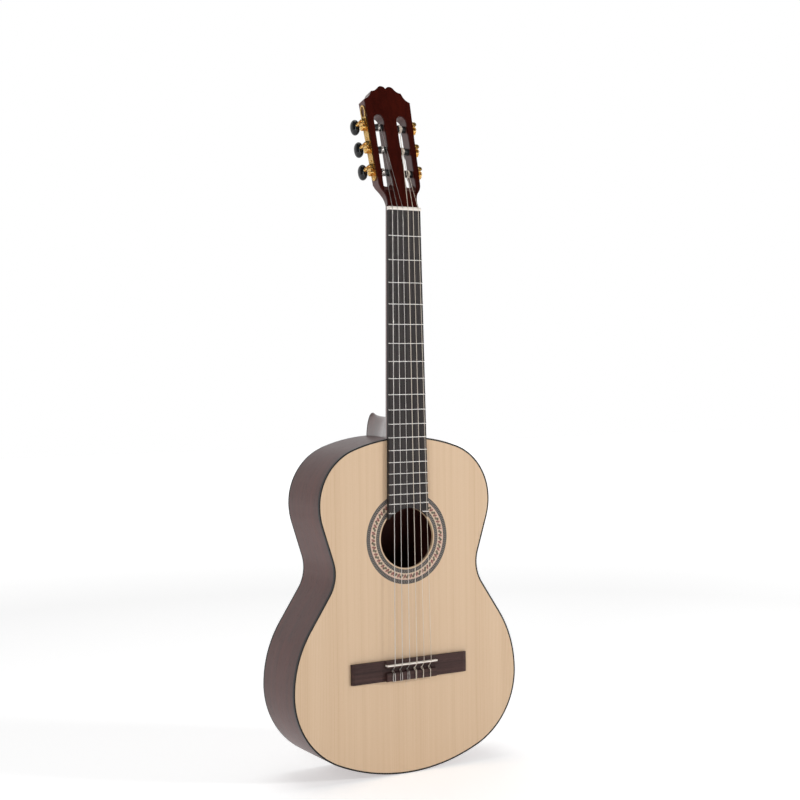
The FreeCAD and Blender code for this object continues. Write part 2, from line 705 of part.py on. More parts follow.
def bridge():
    low, high = tie_block_low(), SADDLE_Z + BRIDGE_ABOVE
    tie_high = low + TIE_T
    channel_high = SADDLE_Z - SADDLE_T - CHANNEL_GAP
    profile = ((0, low), (-TIE_TOP + TIE_BEVEL, low), (-TIE_TOP, low + TIE_BEVEL), (-TIE_TOP, tie_high),
               (-CHANNEL_TOP, tie_high + CHANNEL_BEVEL), (-CHANNEL_TOP, channel_high),
               (-SADDLE_BLOCK_TOP, channel_high + CHANNEL_BEVEL),
               (-SADDLE_BLOCK_TOP + SADDLE_BLOCK_BEVEL, high), (0, high))
    body = polygon_prism([(-TIE_HALF, y, z) for y, z in profile], (2 * TIE_HALF, 0, 0))
    tip = BRIDGE_LENGTH / 2
    wing = ((TIE_HALF, 0, low), (TIE_HALF, -WING_INNER, low), (tip - WING_BEVEL, -WING_INNER, low),
            (tip, -WING_TIP, low), (tip, 0, low))
    wings = both_sides(polygon_prism(wing, (0, 0, high - low)))
    body = body.fuse(wings)
    half = SADDLE_T / 2 + TOUCH
    seat = SADDLE_LENGTH / 2 + TOUCH
    body = body.cut(box(-seat, seat, -FAR, -SADDLE_SEAT, SADDLE_Z - half, SADDLE_Z + half))
    holes = [Part.makeCylinder(TIE_HOLE_R, TIE_T + 4, V(string_x(n, SADDLE_SPACING), -TIE_HOLE_Y, low - 1),
                               V(0, 0, 1)) for n in range(1, 7)]
    return body.cut(Part.makeCompound(holes)).removeSplitter()


def saddle():
    half = SADDLE_T / 2
    side = SADDLE_LENGTH / 2
    shoulder = -SADDLE_TOP + half
    crown = Part.Arc(V(-side, shoulder, SADDLE_Z + half), V(-side, -SADDLE_TOP, SADDLE_Z),
                     V(-side, shoulder, SADDLE_Z - half)).toShape()
    points = [V(-side, shoulder, SADDLE_Z - half), V(-side, -SADDLE_SEAT, SADDLE_Z - half),
              V(-side, -SADDLE_SEAT, SADDLE_Z + half), V(-side, shoulder, SADDLE_Z + half)]
    walls = [line(a, b) for a, b in zip(points, points[1:])]
    return Part.Face(Part.Wire([crown] + walls)).extrude(V(SADDLE_LENGTH, 0, 0))


# ---------------------------------------------------------------- strings
def bent_rod(points, radius, bends):
    """A round rod along straight runs joined by tangent arcs, one bend radius per inner point."""
    edges = []
    start = points[0]
    for before, corner, after, bend in zip(points, points[1:], points[2:], bends):
        back = (before - corner).normalize()
        ahead = (after - corner).normalize()
        half_turn = (math.pi - back.getAngle(ahead)) / 2
        reach = bend * math.tan(half_turn)
        entry, leave = corner + back * reach, corner + ahead * reach
        inward = (back + ahead).normalize()
        centre = corner + inward * (bend / math.cos(half_turn))
        edges.append(line(start, entry))
        edges.append(Part.Arc(entry, centre - inward * bend, leave).toShape())
        start = leave
    edges.append(line(start, points[-1]))
    section = Part.Wire(Part.makeCircle(radius, points[0], points[1] - points[0]))
    return Part.Wire(edges).makePipeShell([section], True, True)


def head_point(x, depth, along):
    return HEAD.multVec(V(x, depth, along))


def string_route(number):
    """Points of a string from its tied end, over saddle and nut, to its roller, with bend radii."""
    radius = STRING_DIAMETERS[number - 1] / 2
    x = string_x(number, SADDLE_SPACING)
    low = tie_block_low()
    over = -TIE_TOP - radius - STRAND_CLEAR
    side = STRAND_GAP
    bend = STRING_BEND * radius
    edge = low - radius - STRAND_CLEAR - STRAND_BELOW
    front = low + TIE_T + radius - STRAND_FRONT
    points, bends = [], []
    if number > 3:
        points += [V(x - side, over, low + STRAND_END), V(x - side, over, front), V(x + side, over, front)]
        bends += [bend, bend]
    else:
        points += [V(x + side, over, front)]
    points += [V(x + side, over, edge), V(x, -TIE_HOLE_Y, edge), V(x, -TIE_HOLE_Y, low + TIE_T + HOLE_EXIT)]
    bends += ([bend] if number > 3 else []) + [bend, 2 * radius]
    points += [saddle_point(number), nut_point(number)]
    points.append(roller_landing(number)[0])
    bends += [bend, NUT_BEND, HEAD_BEND]
    return points, bends


def roller_of(number):
    """Side (+1 treble, -1 bass) and roller (0 lowest) that a string winds on."""
    return (1, number - 1) if number <= 3 else (-1, 6 - number)


def roller_axis_point(number):
    """Where the first turn of a string lies on its roller's axis, on the treble side of the head."""
    _, roller = roller_of(number)
    outward = COIL_AT[roller] + SLOT_CENTRE - SLOT_WIDTH / 2 - SIDE_X
    return SIDE.multVec(V(outward, ROLLER_DEPTH, roller_places()[roller]))


def roller_landing(number):
    """Point where the string meets its roller on the face side, and the centre of that turn."""
    side, _ = roller_of(number)
    radius = STRING_DIAMETERS[number - 1] / 2
    centre = roller_axis_point(number)
    centre = V(side * centre.x, centre.y, centre.z)
    start = nut_point(number)
    reach = ROLLER_R + COIL_PLAY + radius
    span = math.hypot(centre.y - start.y, centre.z - start.z)
    bearing = math.atan2(centre.y - start.y, centre.z - start.z)
    tangent = bearing - math.asin(reach / span)
    length = math.sqrt(span ** 2 - reach ** 2)
    landing = V(centre.x, start.y + length * math.sin(tangent), start.z + length * math.cos(tangent))
    return landing, centre


def string_turns(number):
    """The turns that a string takes round its roller, side by side towards the machine's plate."""
    side, _ = roller_of(number)
    diameter = STRING_DIAMETERS[number - 1]
    axis = SIDE.Rotation.multVec(V(1, 0, 0))
    axis = V(side * axis.x, axis.y, axis.z)
    centre = roller_landing(number)[1]
    reach = ROLLER_R + COIL_PLAY + diameter / 2
    return [Part.makeTorus(reach, diameter / 2, centre + axis * ((turn + 1) * (diameter + TOUCH)), axis)
            for turn in range(COIL_TURNS)]


def string(number):
    points, bends = string_route(number)
    run = bent_rod(points, STRING_DIAMETERS[number - 1] / 2, bends)
    return Part.makeCompound([run] + string_turns(number))


# ---------------------------------------------------------------- tuning machines, treble side
def side_plate():
    """Engraved plate with a round tail, a pierced lyre at its head and two ears for each worm."""
    half = PLATE_WIDTH / 2
    low = -ROLLER_PITCH - PLATE_TAIL + half
    high = ROLLER_PITCH + PLATE_NECK
    middle = ROLLER_DEPTH
    plate = box(0, PLATE_T, middle - half, middle + half, low, high)
    plate = plate.fuse(Part.makeCylinder(half, PLATE_T, V(0, middle, low), V(1, 0, 0)))
    lyre = lyre_disc(LYRE_WIDTH / 2, LYRE_HALF)
    lyre = lyre.cut(lyre_disc(LYRE_WIDTH / 2 - LYRE_RIM, LYRE_HALF - LYRE_RIM))
    lyre.translate(V(0, middle, high + LYRE_HALF - LYRE_LAP))
    plate = plate.fuse(lyre)
    for along in roller_places():
        for ear in worm_ears(along):
            plate = plate.fuse(ear)
        plate = plate.cut(Part.makeCylinder(SPINDLE_R + SHAFT_FIT, 10, V(-5, middle, along), V(1, 0, 0)))
        bore = V(COG_CENTRE_X, 0, along + WORM_CENTRE)
        plate = plate.cut(Part.makeCylinder(STEM_R + SHAFT_FIT, HEAD_T + 10, bore, V(0, 1, 0)))
    holes = [Part.makeCylinder(SCREW_R + TOUCH, 10, V(-5, middle, along), V(1, 0, 0))
             for along in screw_places()]
    return plate.cut(Part.makeCompound(holes)).removeSplitter()


def lyre_disc(half_width, half_height):
    disc = Part.Ellipse(V(0, 0, 0), half_height, half_width).toShape()
    face = Part.Face(Part.Wire(disc))
    face = placed(face, Placement(V(0, 0, 0), Rotation(V(1, 0, 0), V(0, 0, 1))))
    normal = face.normalAt(0, 0)
    turn = Placement(V(0, 0, 0), Rotation(normal, V(1, 0, 0)))
    return placed(face, turn).extrude(V(PLATE_T, 0, 0))


def worm_ears(along):
    """The two ears that hold a worm, one before its thread and one behind."""
    centre = along + WORM_CENTRE
    low = centre - EAR_R + EAR_FLAT
    ears = []
    for depth in (ROLLER_DEPTH - WORM_LENGTH / 2 - END_PLAY - EAR_T,
                  ROLLER_DEPTH + WORM_LENGTH / 2 + END_PLAY):
        web = box(0, COG_CENTRE_X, depth, depth + EAR_T, low, centre + EAR_R)
        eye = Part.makeCylinder(EAR_R, EAR_T, V(COG_CENTRE_X, depth, centre), V(0, 1, 0))
        trim = box(-1, FAR, depth - 1, depth + EAR_T + 1, centre - FAR, low)
        ears.append(web.fuse(eye).cut(trim))
    return ears


def screw_places():
    low = -ROLLER_PITCH - PLATE_TAIL + SCREW_FROM_TAIL
    high = ROLLER_PITCH + PLATE_NECK - SCREW_FROM_LYRE
    below, above = SCREW_SHARES
    return (low, -ROLLER_PITCH * below, ROLLER_PITCH * above, high)


def plate_screws():
    screws = []
    for along in screw_places():
        centre = V(PLATE_T, ROLLER_DEPTH, along)
        head = Part.makeSphere(SCREW_HEAD_R, centre).common(box(PLATE_T, FAR, -FAR, FAR, -FAR, FAR))
        tip = V(PLATE_T - SCREW_LENGTH, ROLLER_DEPTH, along)
        shank = Part.makeCylinder(SCREW_R, SCREW_LENGTH, tip, V(1, 0, 0))
        screws.append(head.fuse(shank).removeSplitter())
    return Part.makeCompound(both_sides(placed(Part.makeCompound(screws), SIDE)))


def plate_screw_holes():
    start = PLATE_T - SCREW_LENGTH - BLIND_ROOM
    holes = [Part.makeCylinder(SCREW_R + TOUCH, SCREW_LENGTH + 2 * BLIND_ROOM,
                               V(start, ROLLER_DEPTH, along), V(1, 0, 0))
             for along in screw_places()]
    return Part.makeCompound(both_sides(placed(Part.makeCompound(holes), SIDE)))


def cog():
    """Cog with its spindle and, as a second solid, the screw that holds it; axis along X."""
    gear = Part.makeCylinder(COG_ROOT_R, COG_T, V(0, 0, 0), V(1, 0, 0))
    root, tip = TOOTH_ROOT / 2, TOOTH_TIP / 2
    sunk = COG_ROOT_R - TOOTH_SINK
    tooth = polygon_prism(((0, -root, sunk), (0, root, sunk), (0, tip, COG_TIP_R), (0, -tip, COG_TIP_R)),
                          (COG_T, 0, 0))
    step = 360.0 / COG_TEETH
    teeth = []
    for index in range(COG_TEETH):
        turn = Placement(V(0, 0, 0), Rotation(V(1, 0, 0), (index + 0.5) * step))
        teeth.append(placed(tooth, turn))
    gear = gear.fuse(teeth)
    inner = -PLATE_T - COG_GAP
    spindle_end = V(inner - SPINDLE_LENGTH, 0, 0)
    spindle = Part.makeCylinder(SPINDLE_R, SPINDLE_LENGTH - inner, spindle_end, V(1, 0, 0))
    collar_end = V(-COG_GAP + END_PLAY, 0, 0)
    collar = Part.makeCylinder(SPINDLE_R + COLLAR_RIM, COG_GAP - END_PLAY, collar_end, V(1, 0, 0))
    gear = gear.fuse([spindle, collar]).removeSplitter()
    bore_end = V(COG_T - COG_SCREW_BORE + 0.01, 0, 0)
    bore = Part.makeCylinder(SCREW_R + TOUCH, COG_SCREW_BORE, bore_end, V(1, 0, 0))
    gear = gear.cut(bore)
    shank = Part.makeCylinder(SCREW_R, COG_SCREW_LENGTH, V(COG_T - COG_SCREW_LENGTH, 0, 0), V(1, 0, 0))
    dome = Part.makeSphere(COG_SCREW_R, V(COG_T, 0, 0)).common(box(COG_T, FAR, -FAR, FAR, -FAR, FAR))
    return Part.makeCompound([gear, shank.fuse(dome).removeSplitter()])


def roller():
    """Barrel that takes the string, open at the plate's end for the cog's spindle."""
    web = SLOT_CENTRE - SLOT_WIDTH / 2
    start = -SIDE_X + web - ROLLER_IN_WEB + END_PLAY
    barrel = Part.makeCylinder(ROLLER_R, -END_PLAY - start, V(start, 0, 0), V(1, 0, 0))
    deep = SPINDLE_LENGTH + BLIND_ROOM
    bore = Part.makeCylinder(SPINDLE_R + TOUCH, deep, V(-deep, 0, 0), V(1, 0, 0))
    below = V(start + ROLLER_IN_WEB + STRING_HOLE_AT, 0, -2 * ROLLER_R)
    string_hole = Part.makeCylinder(STRING_HOLE_R, 4 * ROLLER_R, below, V(0, 0, 1))
    return barrel.cut(bore).cut(string_hole)


def worm():
    """Worm on its stem; axis along Y, centred on the thread."""
    reach = WORM_LENGTH / 2 - THREAD_ROOT / 2 - THREAD_END
    before = math.floor(reach / WORM_LEAD) * WORM_LEAD
    helix = Part.makeHelix(WORM_LEAD, before + reach, WORM_CORE_R)
    root, tip = THREAD_ROOT / 2, THREAD_TIP / 2
    inner = WORM_CORE_R - THREAD_SINK
    corners = [V(inner, 0, -root), V(WORM_TIP_R, 0, -tip), V(WORM_TIP_R, 0, tip), V(inner, 0, root)]
    section = Part.makePolygon(corners + corners[:1])
    thread = Part.Wire(helix.Edges).makePipeShell([section], True, True)
    thread.translate(V(0, 0, -before))
    thread.rotate(V(0, 0, 0), V(1, 0, 0), -90)
    thread.rotate(V(0, 0, 0), V(0, 1, 0), 90)
    core = Part.makeCylinder(WORM_CORE_R, WORM_LENGTH, V(0, -WORM_LENGTH / 2, 0), V(0, 1, 0))
    front = -WORM_LENGTH / 2 - END_PLAY - EAR_T - STEM_PAST_EAR
    back = BUTTON_START - ROLLER_DEPTH
    stem = Part.makeCylinder(STEM_R, back + BUTTON_BORE - front - END_PLAY, V(0, front, 0), V(0, 1, 0))
    start = WORM_LENGTH / 2 + 2 * END_PLAY + EAR_T
    ferrule = Part.makeCylinder(FERRULE_R - FERRULE_STEP, back - start, V(0, start, 0), V(0, 1, 0))
    lip = Part.makeCylinder(FERRULE_R, FERRULE_LIP, V(0, back - FERRULE_LIP, 0), V(0, 1, 0))
    return core.fuse([thread, stem, ferrule, lip]).removeSplitter()


def button():
    """Oval button, bored for the stem; its near end stands on the ferrule."""
    wide, deep, tall = BUTTON_SIZE
    ball = Part.makeSphere(1.0)
    stretch = FreeCAD.Matrix()
    stretch.scale(wide / 2, deep / 2, tall / 2)
    oval = ball.transformGeometry(stretch)
    oval.translate(V(0, deep / 2 - BUTTON_SEAT, 0))
    oval = oval.cut(box(-FAR, FAR, -FAR, 0, -FAR, FAR))
    return oval.cut(Part.makeCylinder(STEM_R + TOUCH, BUTTON_BORE + 1, V(0, -1, 0), V(0, 1, 0)))


def machine_pieces():
    """Every turning piece of the six machines, by name."""
    pieces = {}
    for number in range(1, 7):
        side, place = roller_of(number)
        along = roller_places()[place]
        at_cog = V(PLATE_T + COG_GAP, ROLLER_DEPTH, along)
        at_roller = V(0, ROLLER_DEPTH, along)
        at_worm = V(COG_CENTRE_X, ROLLER_DEPTH, along + WORM_CENTRE)
        at_button = V(COG_CENTRE_X, BUTTON_START, along + WORM_CENTRE)
        parts = {"tuner_cog": (cog(), at_cog), "string_roller": (roller(), at_roller),
                 "worm_shaft": (worm(), at_worm), "tuner_button": (button(), at_button)}
        for name, (shape, place_at) in parts.items():
            shape = placed(placed(shape, Placement(place_at, Rotation())), SIDE)
            pieces[f"{name}_{number}"] = both_sides(shape)[0 if side > 0 else 1]
    return pieces


# ---------------------------------------------------------------- all nodes
def guitar():
    nodes = {}
    wedge = graft_wedge()
    ribs = ribs_ring()
    nodes["soundboard"] = soundboard()
    nodes["rosette"] = rosette()
    nodes["top_binding"] = ring(0, RIB_T, 0, BINDING_H)
    nodes["back_binding"] = ring(0, RIB_T, 0, DEPTH_TAIL + 1).common(under_back(0, BINDING_H))
    nodes["rib_bass"], nodes["rib_treble"] = halves(ribs.cut(wedge))
    nodes["tail_graft"] = ribs.common(wedge)
    nodes["top_linings"] = top_lining()
    nodes["back_linings"] = back_lining()
    nodes["tail_block"], nodes["heel_block"] = end_blocks()
    nodes["harmonic_bars"] = harmonic_bars()
    nodes["fan_braces"] = fan_braces()
    nodes["soundhole_patch"] = hole_ring(HOLE_RADIUS, PATCH_RADIUS, TOP_T, TOP_T + PATCH_T)
    nodes["back_braces"] = back_braces()
    nodes["back_seam_strip"] = back_seam_strip()
    nodes["back_bass_half"], nodes["back_treble_half"], nodes["back_centre_strip"] = back_plates()
    nodes["neck"] = neck()
    nodes["heel_cap"] = heel_cap()
    nodes["headplate"] = headplate()
    nodes["fretboard"] = fretboard()
    nodes["frets"] = frets()
    nodes["nut"] = nut()
    nodes["bridge"] = bridge()
    nodes["saddle"] = saddle()
    for number in range(1, 7):
        nodes[f"string_{number}"] = string(number)
    plates = both_sides(placed(side_plate(), SIDE))
    nodes["tuner_plate_treble"], nodes["tuner_plate_bass"] = plates
    nodes["plate_screws"] = plate_screws()
    nodes.update(machine_pieces())
    return nodes


def main():
    os.makedirs("parts", exist_ok=True)
    for name, shape in guitar().items():
        shape.exportStep(f"parts/{name}.step")


if __name__ == "__main__":
    main()
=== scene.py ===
"""Looks of a classical guitar: woods, rosette, gilt tuning machines, strings and the studio round them."""
import json
import math

import bmesh
import bpy
import numpy as np
from bpy.props import FloatProperty, FloatVectorProperty, PointerProperty
from mathutils import Matrix, Vector


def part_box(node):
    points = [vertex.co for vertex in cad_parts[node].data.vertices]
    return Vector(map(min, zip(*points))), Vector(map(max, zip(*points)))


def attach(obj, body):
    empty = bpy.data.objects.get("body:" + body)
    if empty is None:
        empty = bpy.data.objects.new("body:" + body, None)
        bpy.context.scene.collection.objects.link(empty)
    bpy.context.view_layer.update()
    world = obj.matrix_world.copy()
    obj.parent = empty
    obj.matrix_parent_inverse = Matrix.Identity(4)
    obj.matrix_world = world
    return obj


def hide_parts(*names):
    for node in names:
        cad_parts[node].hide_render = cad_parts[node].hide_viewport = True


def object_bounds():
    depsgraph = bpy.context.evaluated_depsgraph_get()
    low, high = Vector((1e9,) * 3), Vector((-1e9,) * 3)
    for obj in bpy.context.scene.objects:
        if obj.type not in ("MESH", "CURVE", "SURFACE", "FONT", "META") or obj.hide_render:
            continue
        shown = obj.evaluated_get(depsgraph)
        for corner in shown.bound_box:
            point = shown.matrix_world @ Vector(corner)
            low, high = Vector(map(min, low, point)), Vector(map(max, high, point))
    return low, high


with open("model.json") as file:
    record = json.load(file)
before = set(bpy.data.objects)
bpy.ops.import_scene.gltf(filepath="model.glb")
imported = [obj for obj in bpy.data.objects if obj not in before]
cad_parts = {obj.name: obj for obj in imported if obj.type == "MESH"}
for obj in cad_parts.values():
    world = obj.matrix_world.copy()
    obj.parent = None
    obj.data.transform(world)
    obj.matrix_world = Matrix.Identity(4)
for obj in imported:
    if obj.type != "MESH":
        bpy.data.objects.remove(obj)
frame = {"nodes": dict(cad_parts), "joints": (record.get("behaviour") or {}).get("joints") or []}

bl_info = {
    "name": "Classical guitar looks",
    "version": (1, 0, 0),
    "blender": (4, 5, 0),
    "location": "View3D > Sidebar > Guitar",
    "description": "Finishes and fine pieces for a classical guitar whose frame is already loaded",
    "category": "Add Mesh",
}

MM = 0.001
GUITAR = "guitar"
STRINGS = range(1, 7)
CAD_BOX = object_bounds()

# studio: name, place, width and height in metres, and power in watts
STUDIO_LIGHTS = (("key", (2.4, -2.3, 1.35), (0.5, 0.5), 50.0), ("fill", (-2.4, -2.0, 1.3), (0.5, 2.2), 22.0),
                 ("above", (0.0, 0.4, 3.2), (2.2, 2.2), 30.0))
FLOOR_REACH = 9.0
FLOOR_GAP = 0.0002           # floor under the tail
# the floor's emission is a painted glow, not a lamp: dimmer near the guitar, full white far off
FLOOR_GLOW_FADE = (1.8, 4.2)      # distances between which the paper grows brighter

# woods
RIB_CENTRE = 0.20            # height of the point round which the ribs' grain runs
SPRUCE_RING = 0.0016         # width of a growth ring near the middle of the soundboard
RING_TURN = 0.82             # share of a ring at which its late wood is darkest

# rosette: radii from the hole's centre, and how many tiles or chevrons go round
MOSAIC_PAIRS = 34.0
LEAF_HEIGHT = 0.0042
HERRINGBONES = ((0.0455, 0.0510, 112.0), (0.0605, 0.0665, 148.0))
DARK_LINES = ((0.0455, 0.0458), (0.0507, 0.0510), (0.0605, 0.0608), (0.0661, 0.0665))
RED_LINE = (0.0594, 0.0600)
PALE_LINE = (0.0600, 0.0605)
# leaves: place in the tile, radius of the middle, slant, half width and half height in tiles, colour
LEAVES = ((0.00, 0.0555, 0.13, 0.165, 0.86, (0.075, 0.062, 0.040)),
          (0.14, 0.0571, -0.10, 0.100, 0.46, (0.07, 0.075, 0.04)),
          (0.50, 0.0555, 0.13, 0.170, 0.84, (0.19, 0.040, 0.044)),
          (0.36, 0.0540, -0.10, 0.100, 0.46, (0.17, 0.045, 0.042)),
          (0.78, 0.0545, 0.12, 0.090, 0.42, (0.08, 0.06, 0.04)),
          (0.27, 0.0568, 0.12, 0.085, 0.38, (0.16, 0.05, 0.045)))

# engraving of the plates, in the head's own frame
HEAD_TILT = math.radians(15.0)
SCROLL_PITCH = 0.0115        # from one scroll to the next
SCROLL_DEPTH = 0.0100        # middle of the scrolls, into the head
SCROLL_GROOVE = 0.0021       # from one turn of a scroll to the next
SCROLL_LEAVES = 0.0040       # leaves fill the plate outside this radius

# strings
WINDING_PITCH = 0.00028
STRING_DIAMETERS = tuple(size * MM for size in (0.72, 0.82, 1.03, 0.76, 0.90, 1.10))
COIL_TURNS = 4
COIL_GAP = 0.02 * MM         # between turns
COIL_LIFT = 0.06 * MM        # between a string and its roller
NEAR_ROLLER = 8.0 * MM
TIE_BLOCK = 12.0 * MM
HOLE_DOWN = 4.8 * MM         # holes below the top of the tie block
SADDLE_REACH = 1.1 * MM      # half the bend over the saddle's crown
SADDLE_LIFT = 0.22 * MM
SADDLE_MARGIN = 1.0 * MM
KNOT_CLEAR = 0.05 * MM       # between a strand and the tie block
KNOT_SPREAD = 0.6 * MM       # half gap of a bass knot's strands, and its belly
KNOT_BELLY = 1.1 * MM
TREBLE_TWISTS = 3.5
# loop in front of the block: aside, below the top and ahead of the front, in millimetres
KNOT_LOOP = ((-1.15, 1.4, 0.95), (-1.0, 3.6, 2.2), (0.0, 4.75, 3.9), (1.0, 3.6, 2.2), (1.15, 1.4, 0.95))
# way down behind the block and through the hole: aside, below the top and ahead of the back, in millimetres
KNOT_TAIL = ((0.9, 1.0, -0.35), (0.4, 3.4, -0.75), (0.0, 4.7, -0.2), (0.0, 4.8, 3.0), (0.0, 4.8, 11.0))
CURL = ((-1.4, 0.0, 0.6), (-1.3, 0.3, -0.9), (-0.6, 3.0, -2.2), (0.6, 6.4, -3.8), (0.9, 8.4, -6.2),
        (0.1, 9.0, -8.8), (-1.3, 9.2, -10.8))
CURL_RADIUS = 0.14 * MM

# buttons
BUTTON_SQUARE = 2.2          # exponent of a section; 2 is an ellipse
COLLAR_HEIGHT = 0.30         # share of the button's half height
COLLAR_LENGTH = 0.16


# ---------------------------------------------------------------- measures taken from the frame
def span(node):
    """Lowest and highest corner of a node as arrays."""
    low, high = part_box(node)
    return np.array(low), np.array(high)


def corners(node):
    """All vertices of a node, as rows."""
    mesh = frame["nodes"][node].data
    flat = np.empty(len(mesh.vertices) * 3)
    mesh.vertices.foreach_get("co", flat)
    return flat.reshape(-1, 3)


def joint(name):
    """Place and axis of a joint."""
    found = next(j for j in frame["joints"] if j["name"] == name)
    axis = np.array(found["axis"], float)
    return np.array(found["pos_m"], float), axis / np.linalg.norm(axis)


def machine_axes(number):
    """Out of the head's side, into the head's depth, and up the head, for one machine."""
    out = joint(f"roller_turn_{number}")[1]
    deep = joint(f"button_turn_{number}")[1]
    up = np.cross(out, deep)
    return out, deep, up if up[2] > 0 else -up


def along(node, axes):
    """Lowest and highest reach of a node along each of these directions."""
    reach = corners(node) @ np.array(axes).T
    return reach.min(0), reach.max(0)


def hole_centre():
    low, high = span("soundhole_patch")
    return (low + high) / 2


HEAD_FOOT = tuple(np.mean(span("nut"), axis=0))


# ---------------------------------------------------------------- surfaces
def unit(vectors):
    return vectors / np.linalg.norm(vectors, axis=-1, keepdims=True)


def grid_piece(name, grid, closed=True, uv=None):
    """Mesh of a grid of points, rows by columns: each face joins point (i, j) to its next row and column.

    A closed grid also joins its last column to the first and caps its first and last row.
    """
    rows, columns = grid.shape[:2]
    index = np.arange(rows * columns).reshape(rows, columns)
    if closed:
        index = np.concatenate([index, index[:, :1]], 1)
    quads = np.stack([index[:-1, :-1], index[:-1, 1:], index[1:, 1:], index[1:, :-1]], -1).reshape(-1, 4)
    faces = quads.tolist()
    if closed:
        faces.append(index[0, :columns][::-1].tolist())
        faces.append(index[-1, :columns].tolist())
    mesh = bpy.data.meshes.new(name)
    mesh.from_pydata(grid.reshape(-1, 3).tolist(), [], faces)
    mesh.polygons.foreach_set("use_smooth", [True] * len(faces))
    if uv is not None:
        layer = mesh.uv_layers.new(name="run")
        loops = np.empty(len(mesh.loops), int)
        mesh.loops.foreach_get("vertex_index", loops)
        layer.data.foreach_set("uv", uv.reshape(-1, 2)[loops].ravel())
    mesh.validate()
    mesh.update()
    piece = bpy.data.objects.new(name, mesh)
    bpy.context.scene.collection.objects.link(piece)
    point_outwards(piece)
    return piece


def point_outwards(piece):
    """Turns every face of a closed piece outwards."""
    work = bmesh.new()
    work.from_mesh(piece.data)
    bmesh.ops.recalc_face_normals(work, faces=work.faces)
    work.to_mesh(piece.data)
    work.free()


def carried_frame(heading):
    """Two directions across a path, carried along it so that they turn no more than the path does.

    At each point the one before loses its share along the heading and is made a unit again.
    """
    aside = np.empty_like(heading)
    start = np.cross(heading[0], np.array([0.3, 1.0, 0.2]))
    aside[0] = start / np.linalg.norm(start)
    for step in range(1, len(heading)):
        kept = aside[step - 1] - heading[step] * (aside[step - 1] @ heading[step])
        aside[step] = kept / np.linalg.norm(kept)
    return aside, np.cross(heading, aside)


def tube(name, path, radius, sides=12):
    """Round tube along a path: a point is path + radius (aside cos a + over sin a)."""
    path = np.asarray(path, float)
    heading = unit(np.gradient(path, axis=0))
    aside, over = carried_frame(heading)
    angle = np.linspace(0, 2 * np.pi, sides, endpoint=False)
    grid = path[:, None] + radius * (aside[:, None] * np.cos(angle)[None, :, None]
                                     + over[:, None] * np.sin(angle)[None, :, None])
    length = np.concatenate([[0], np.cumsum(np.linalg.norm(np.diff(path, axis=0), axis=1))])
    uv = np.stack(np.broadcast_arrays(angle[None, :] / (2 * np.pi), length[:, None]), -1)
    return grid_piece(name, grid, uv=uv)


def smooth_path(points, steps):
    """Catmull-Rom curve: each run is a cubic in t through its two points, parallel to the neighbours."""
    points = np.asarray(points, float)
    padded = np.concatenate([[2 * points[0] - points[1]], points, [2 * points[-1] - points[-2]]])
    t = np.linspace(0, 1, steps, endpoint=False)[:, None, None]
    a, b, c, d = (padded[i:len(points) - 1 + i][None] for i in range(4))
    square, cube = 2 * a - 5 * b + 4 * c - d, 3 * b - a - 3 * c + d
    curve = 0.5 * (2 * b + (c - a) * t + square * t ** 2 + cube * t ** 3)
    return np.concatenate([curve.transpose(1, 0, 2).reshape(-1, 3), points[-1:]])


def finish_piece(piece, body, finish):
    """Gives a new piece its finish and the body that it rides on."""
    piece.data.materials.append(finish)
    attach(piece, body)
    return piece


# ---------------------------------------------------------------- shader maths
class Value:
    """A number in a node tree; Python's operators add Math nodes."""

    def __init__(self, shade, socket):
        self.shade = shade
        self.socket = socket

    def _math(self, operation, *others):
        return self.shade.node("ShaderNodeMath", {"operation": operation}, (self,) + others)

    def __add__(self, other):
        return self._math("ADD", other)

    __radd__ = __add__

    def __sub__(self, other):
        return self._math("SUBTRACT", other)

    def __rsub__(self, other):
        return self.shade.node("ShaderNodeMath", {"operation": "SUBTRACT"}, (other, self))

    def __mul__(self, other):
        return self._math("MULTIPLY", other)

    __rmul__ = __mul__

    def __truediv__(self, other):
        return self._math("DIVIDE", other)

    def __pow__(self, other):
        return self._math("POWER", other)

    def __abs__(self):
        return self._math("ABSOLUTE")

    def __lt__(self, other):
        return self._math("LESS_THAN", other)

    def __gt__(self, other):
        return self._math("GREATER_THAN", other)

    def sine(self):
        return self._math("SINE")

    def fraction(self):
        return self._math("FRACT")

    def floor(self):
        return self._math("FLOOR")

    def root(self):
        return self._math("SQRT")

    def angle_to(self, other):
        return self._math("ARCTAN2", other)

    def between(self, low, high):
        """1 where the value lies between low and high, else 0."""
        return (self > low) * (self < high)

    def rescaled(self, low, high, to_low=0.0, to_high=1.0):
        """The value carried from one range to another, and held inside it."""
        return self.shade.node("ShaderNodeMapRange", {"clamp": True}, (self, low, high, to_low, to_high))


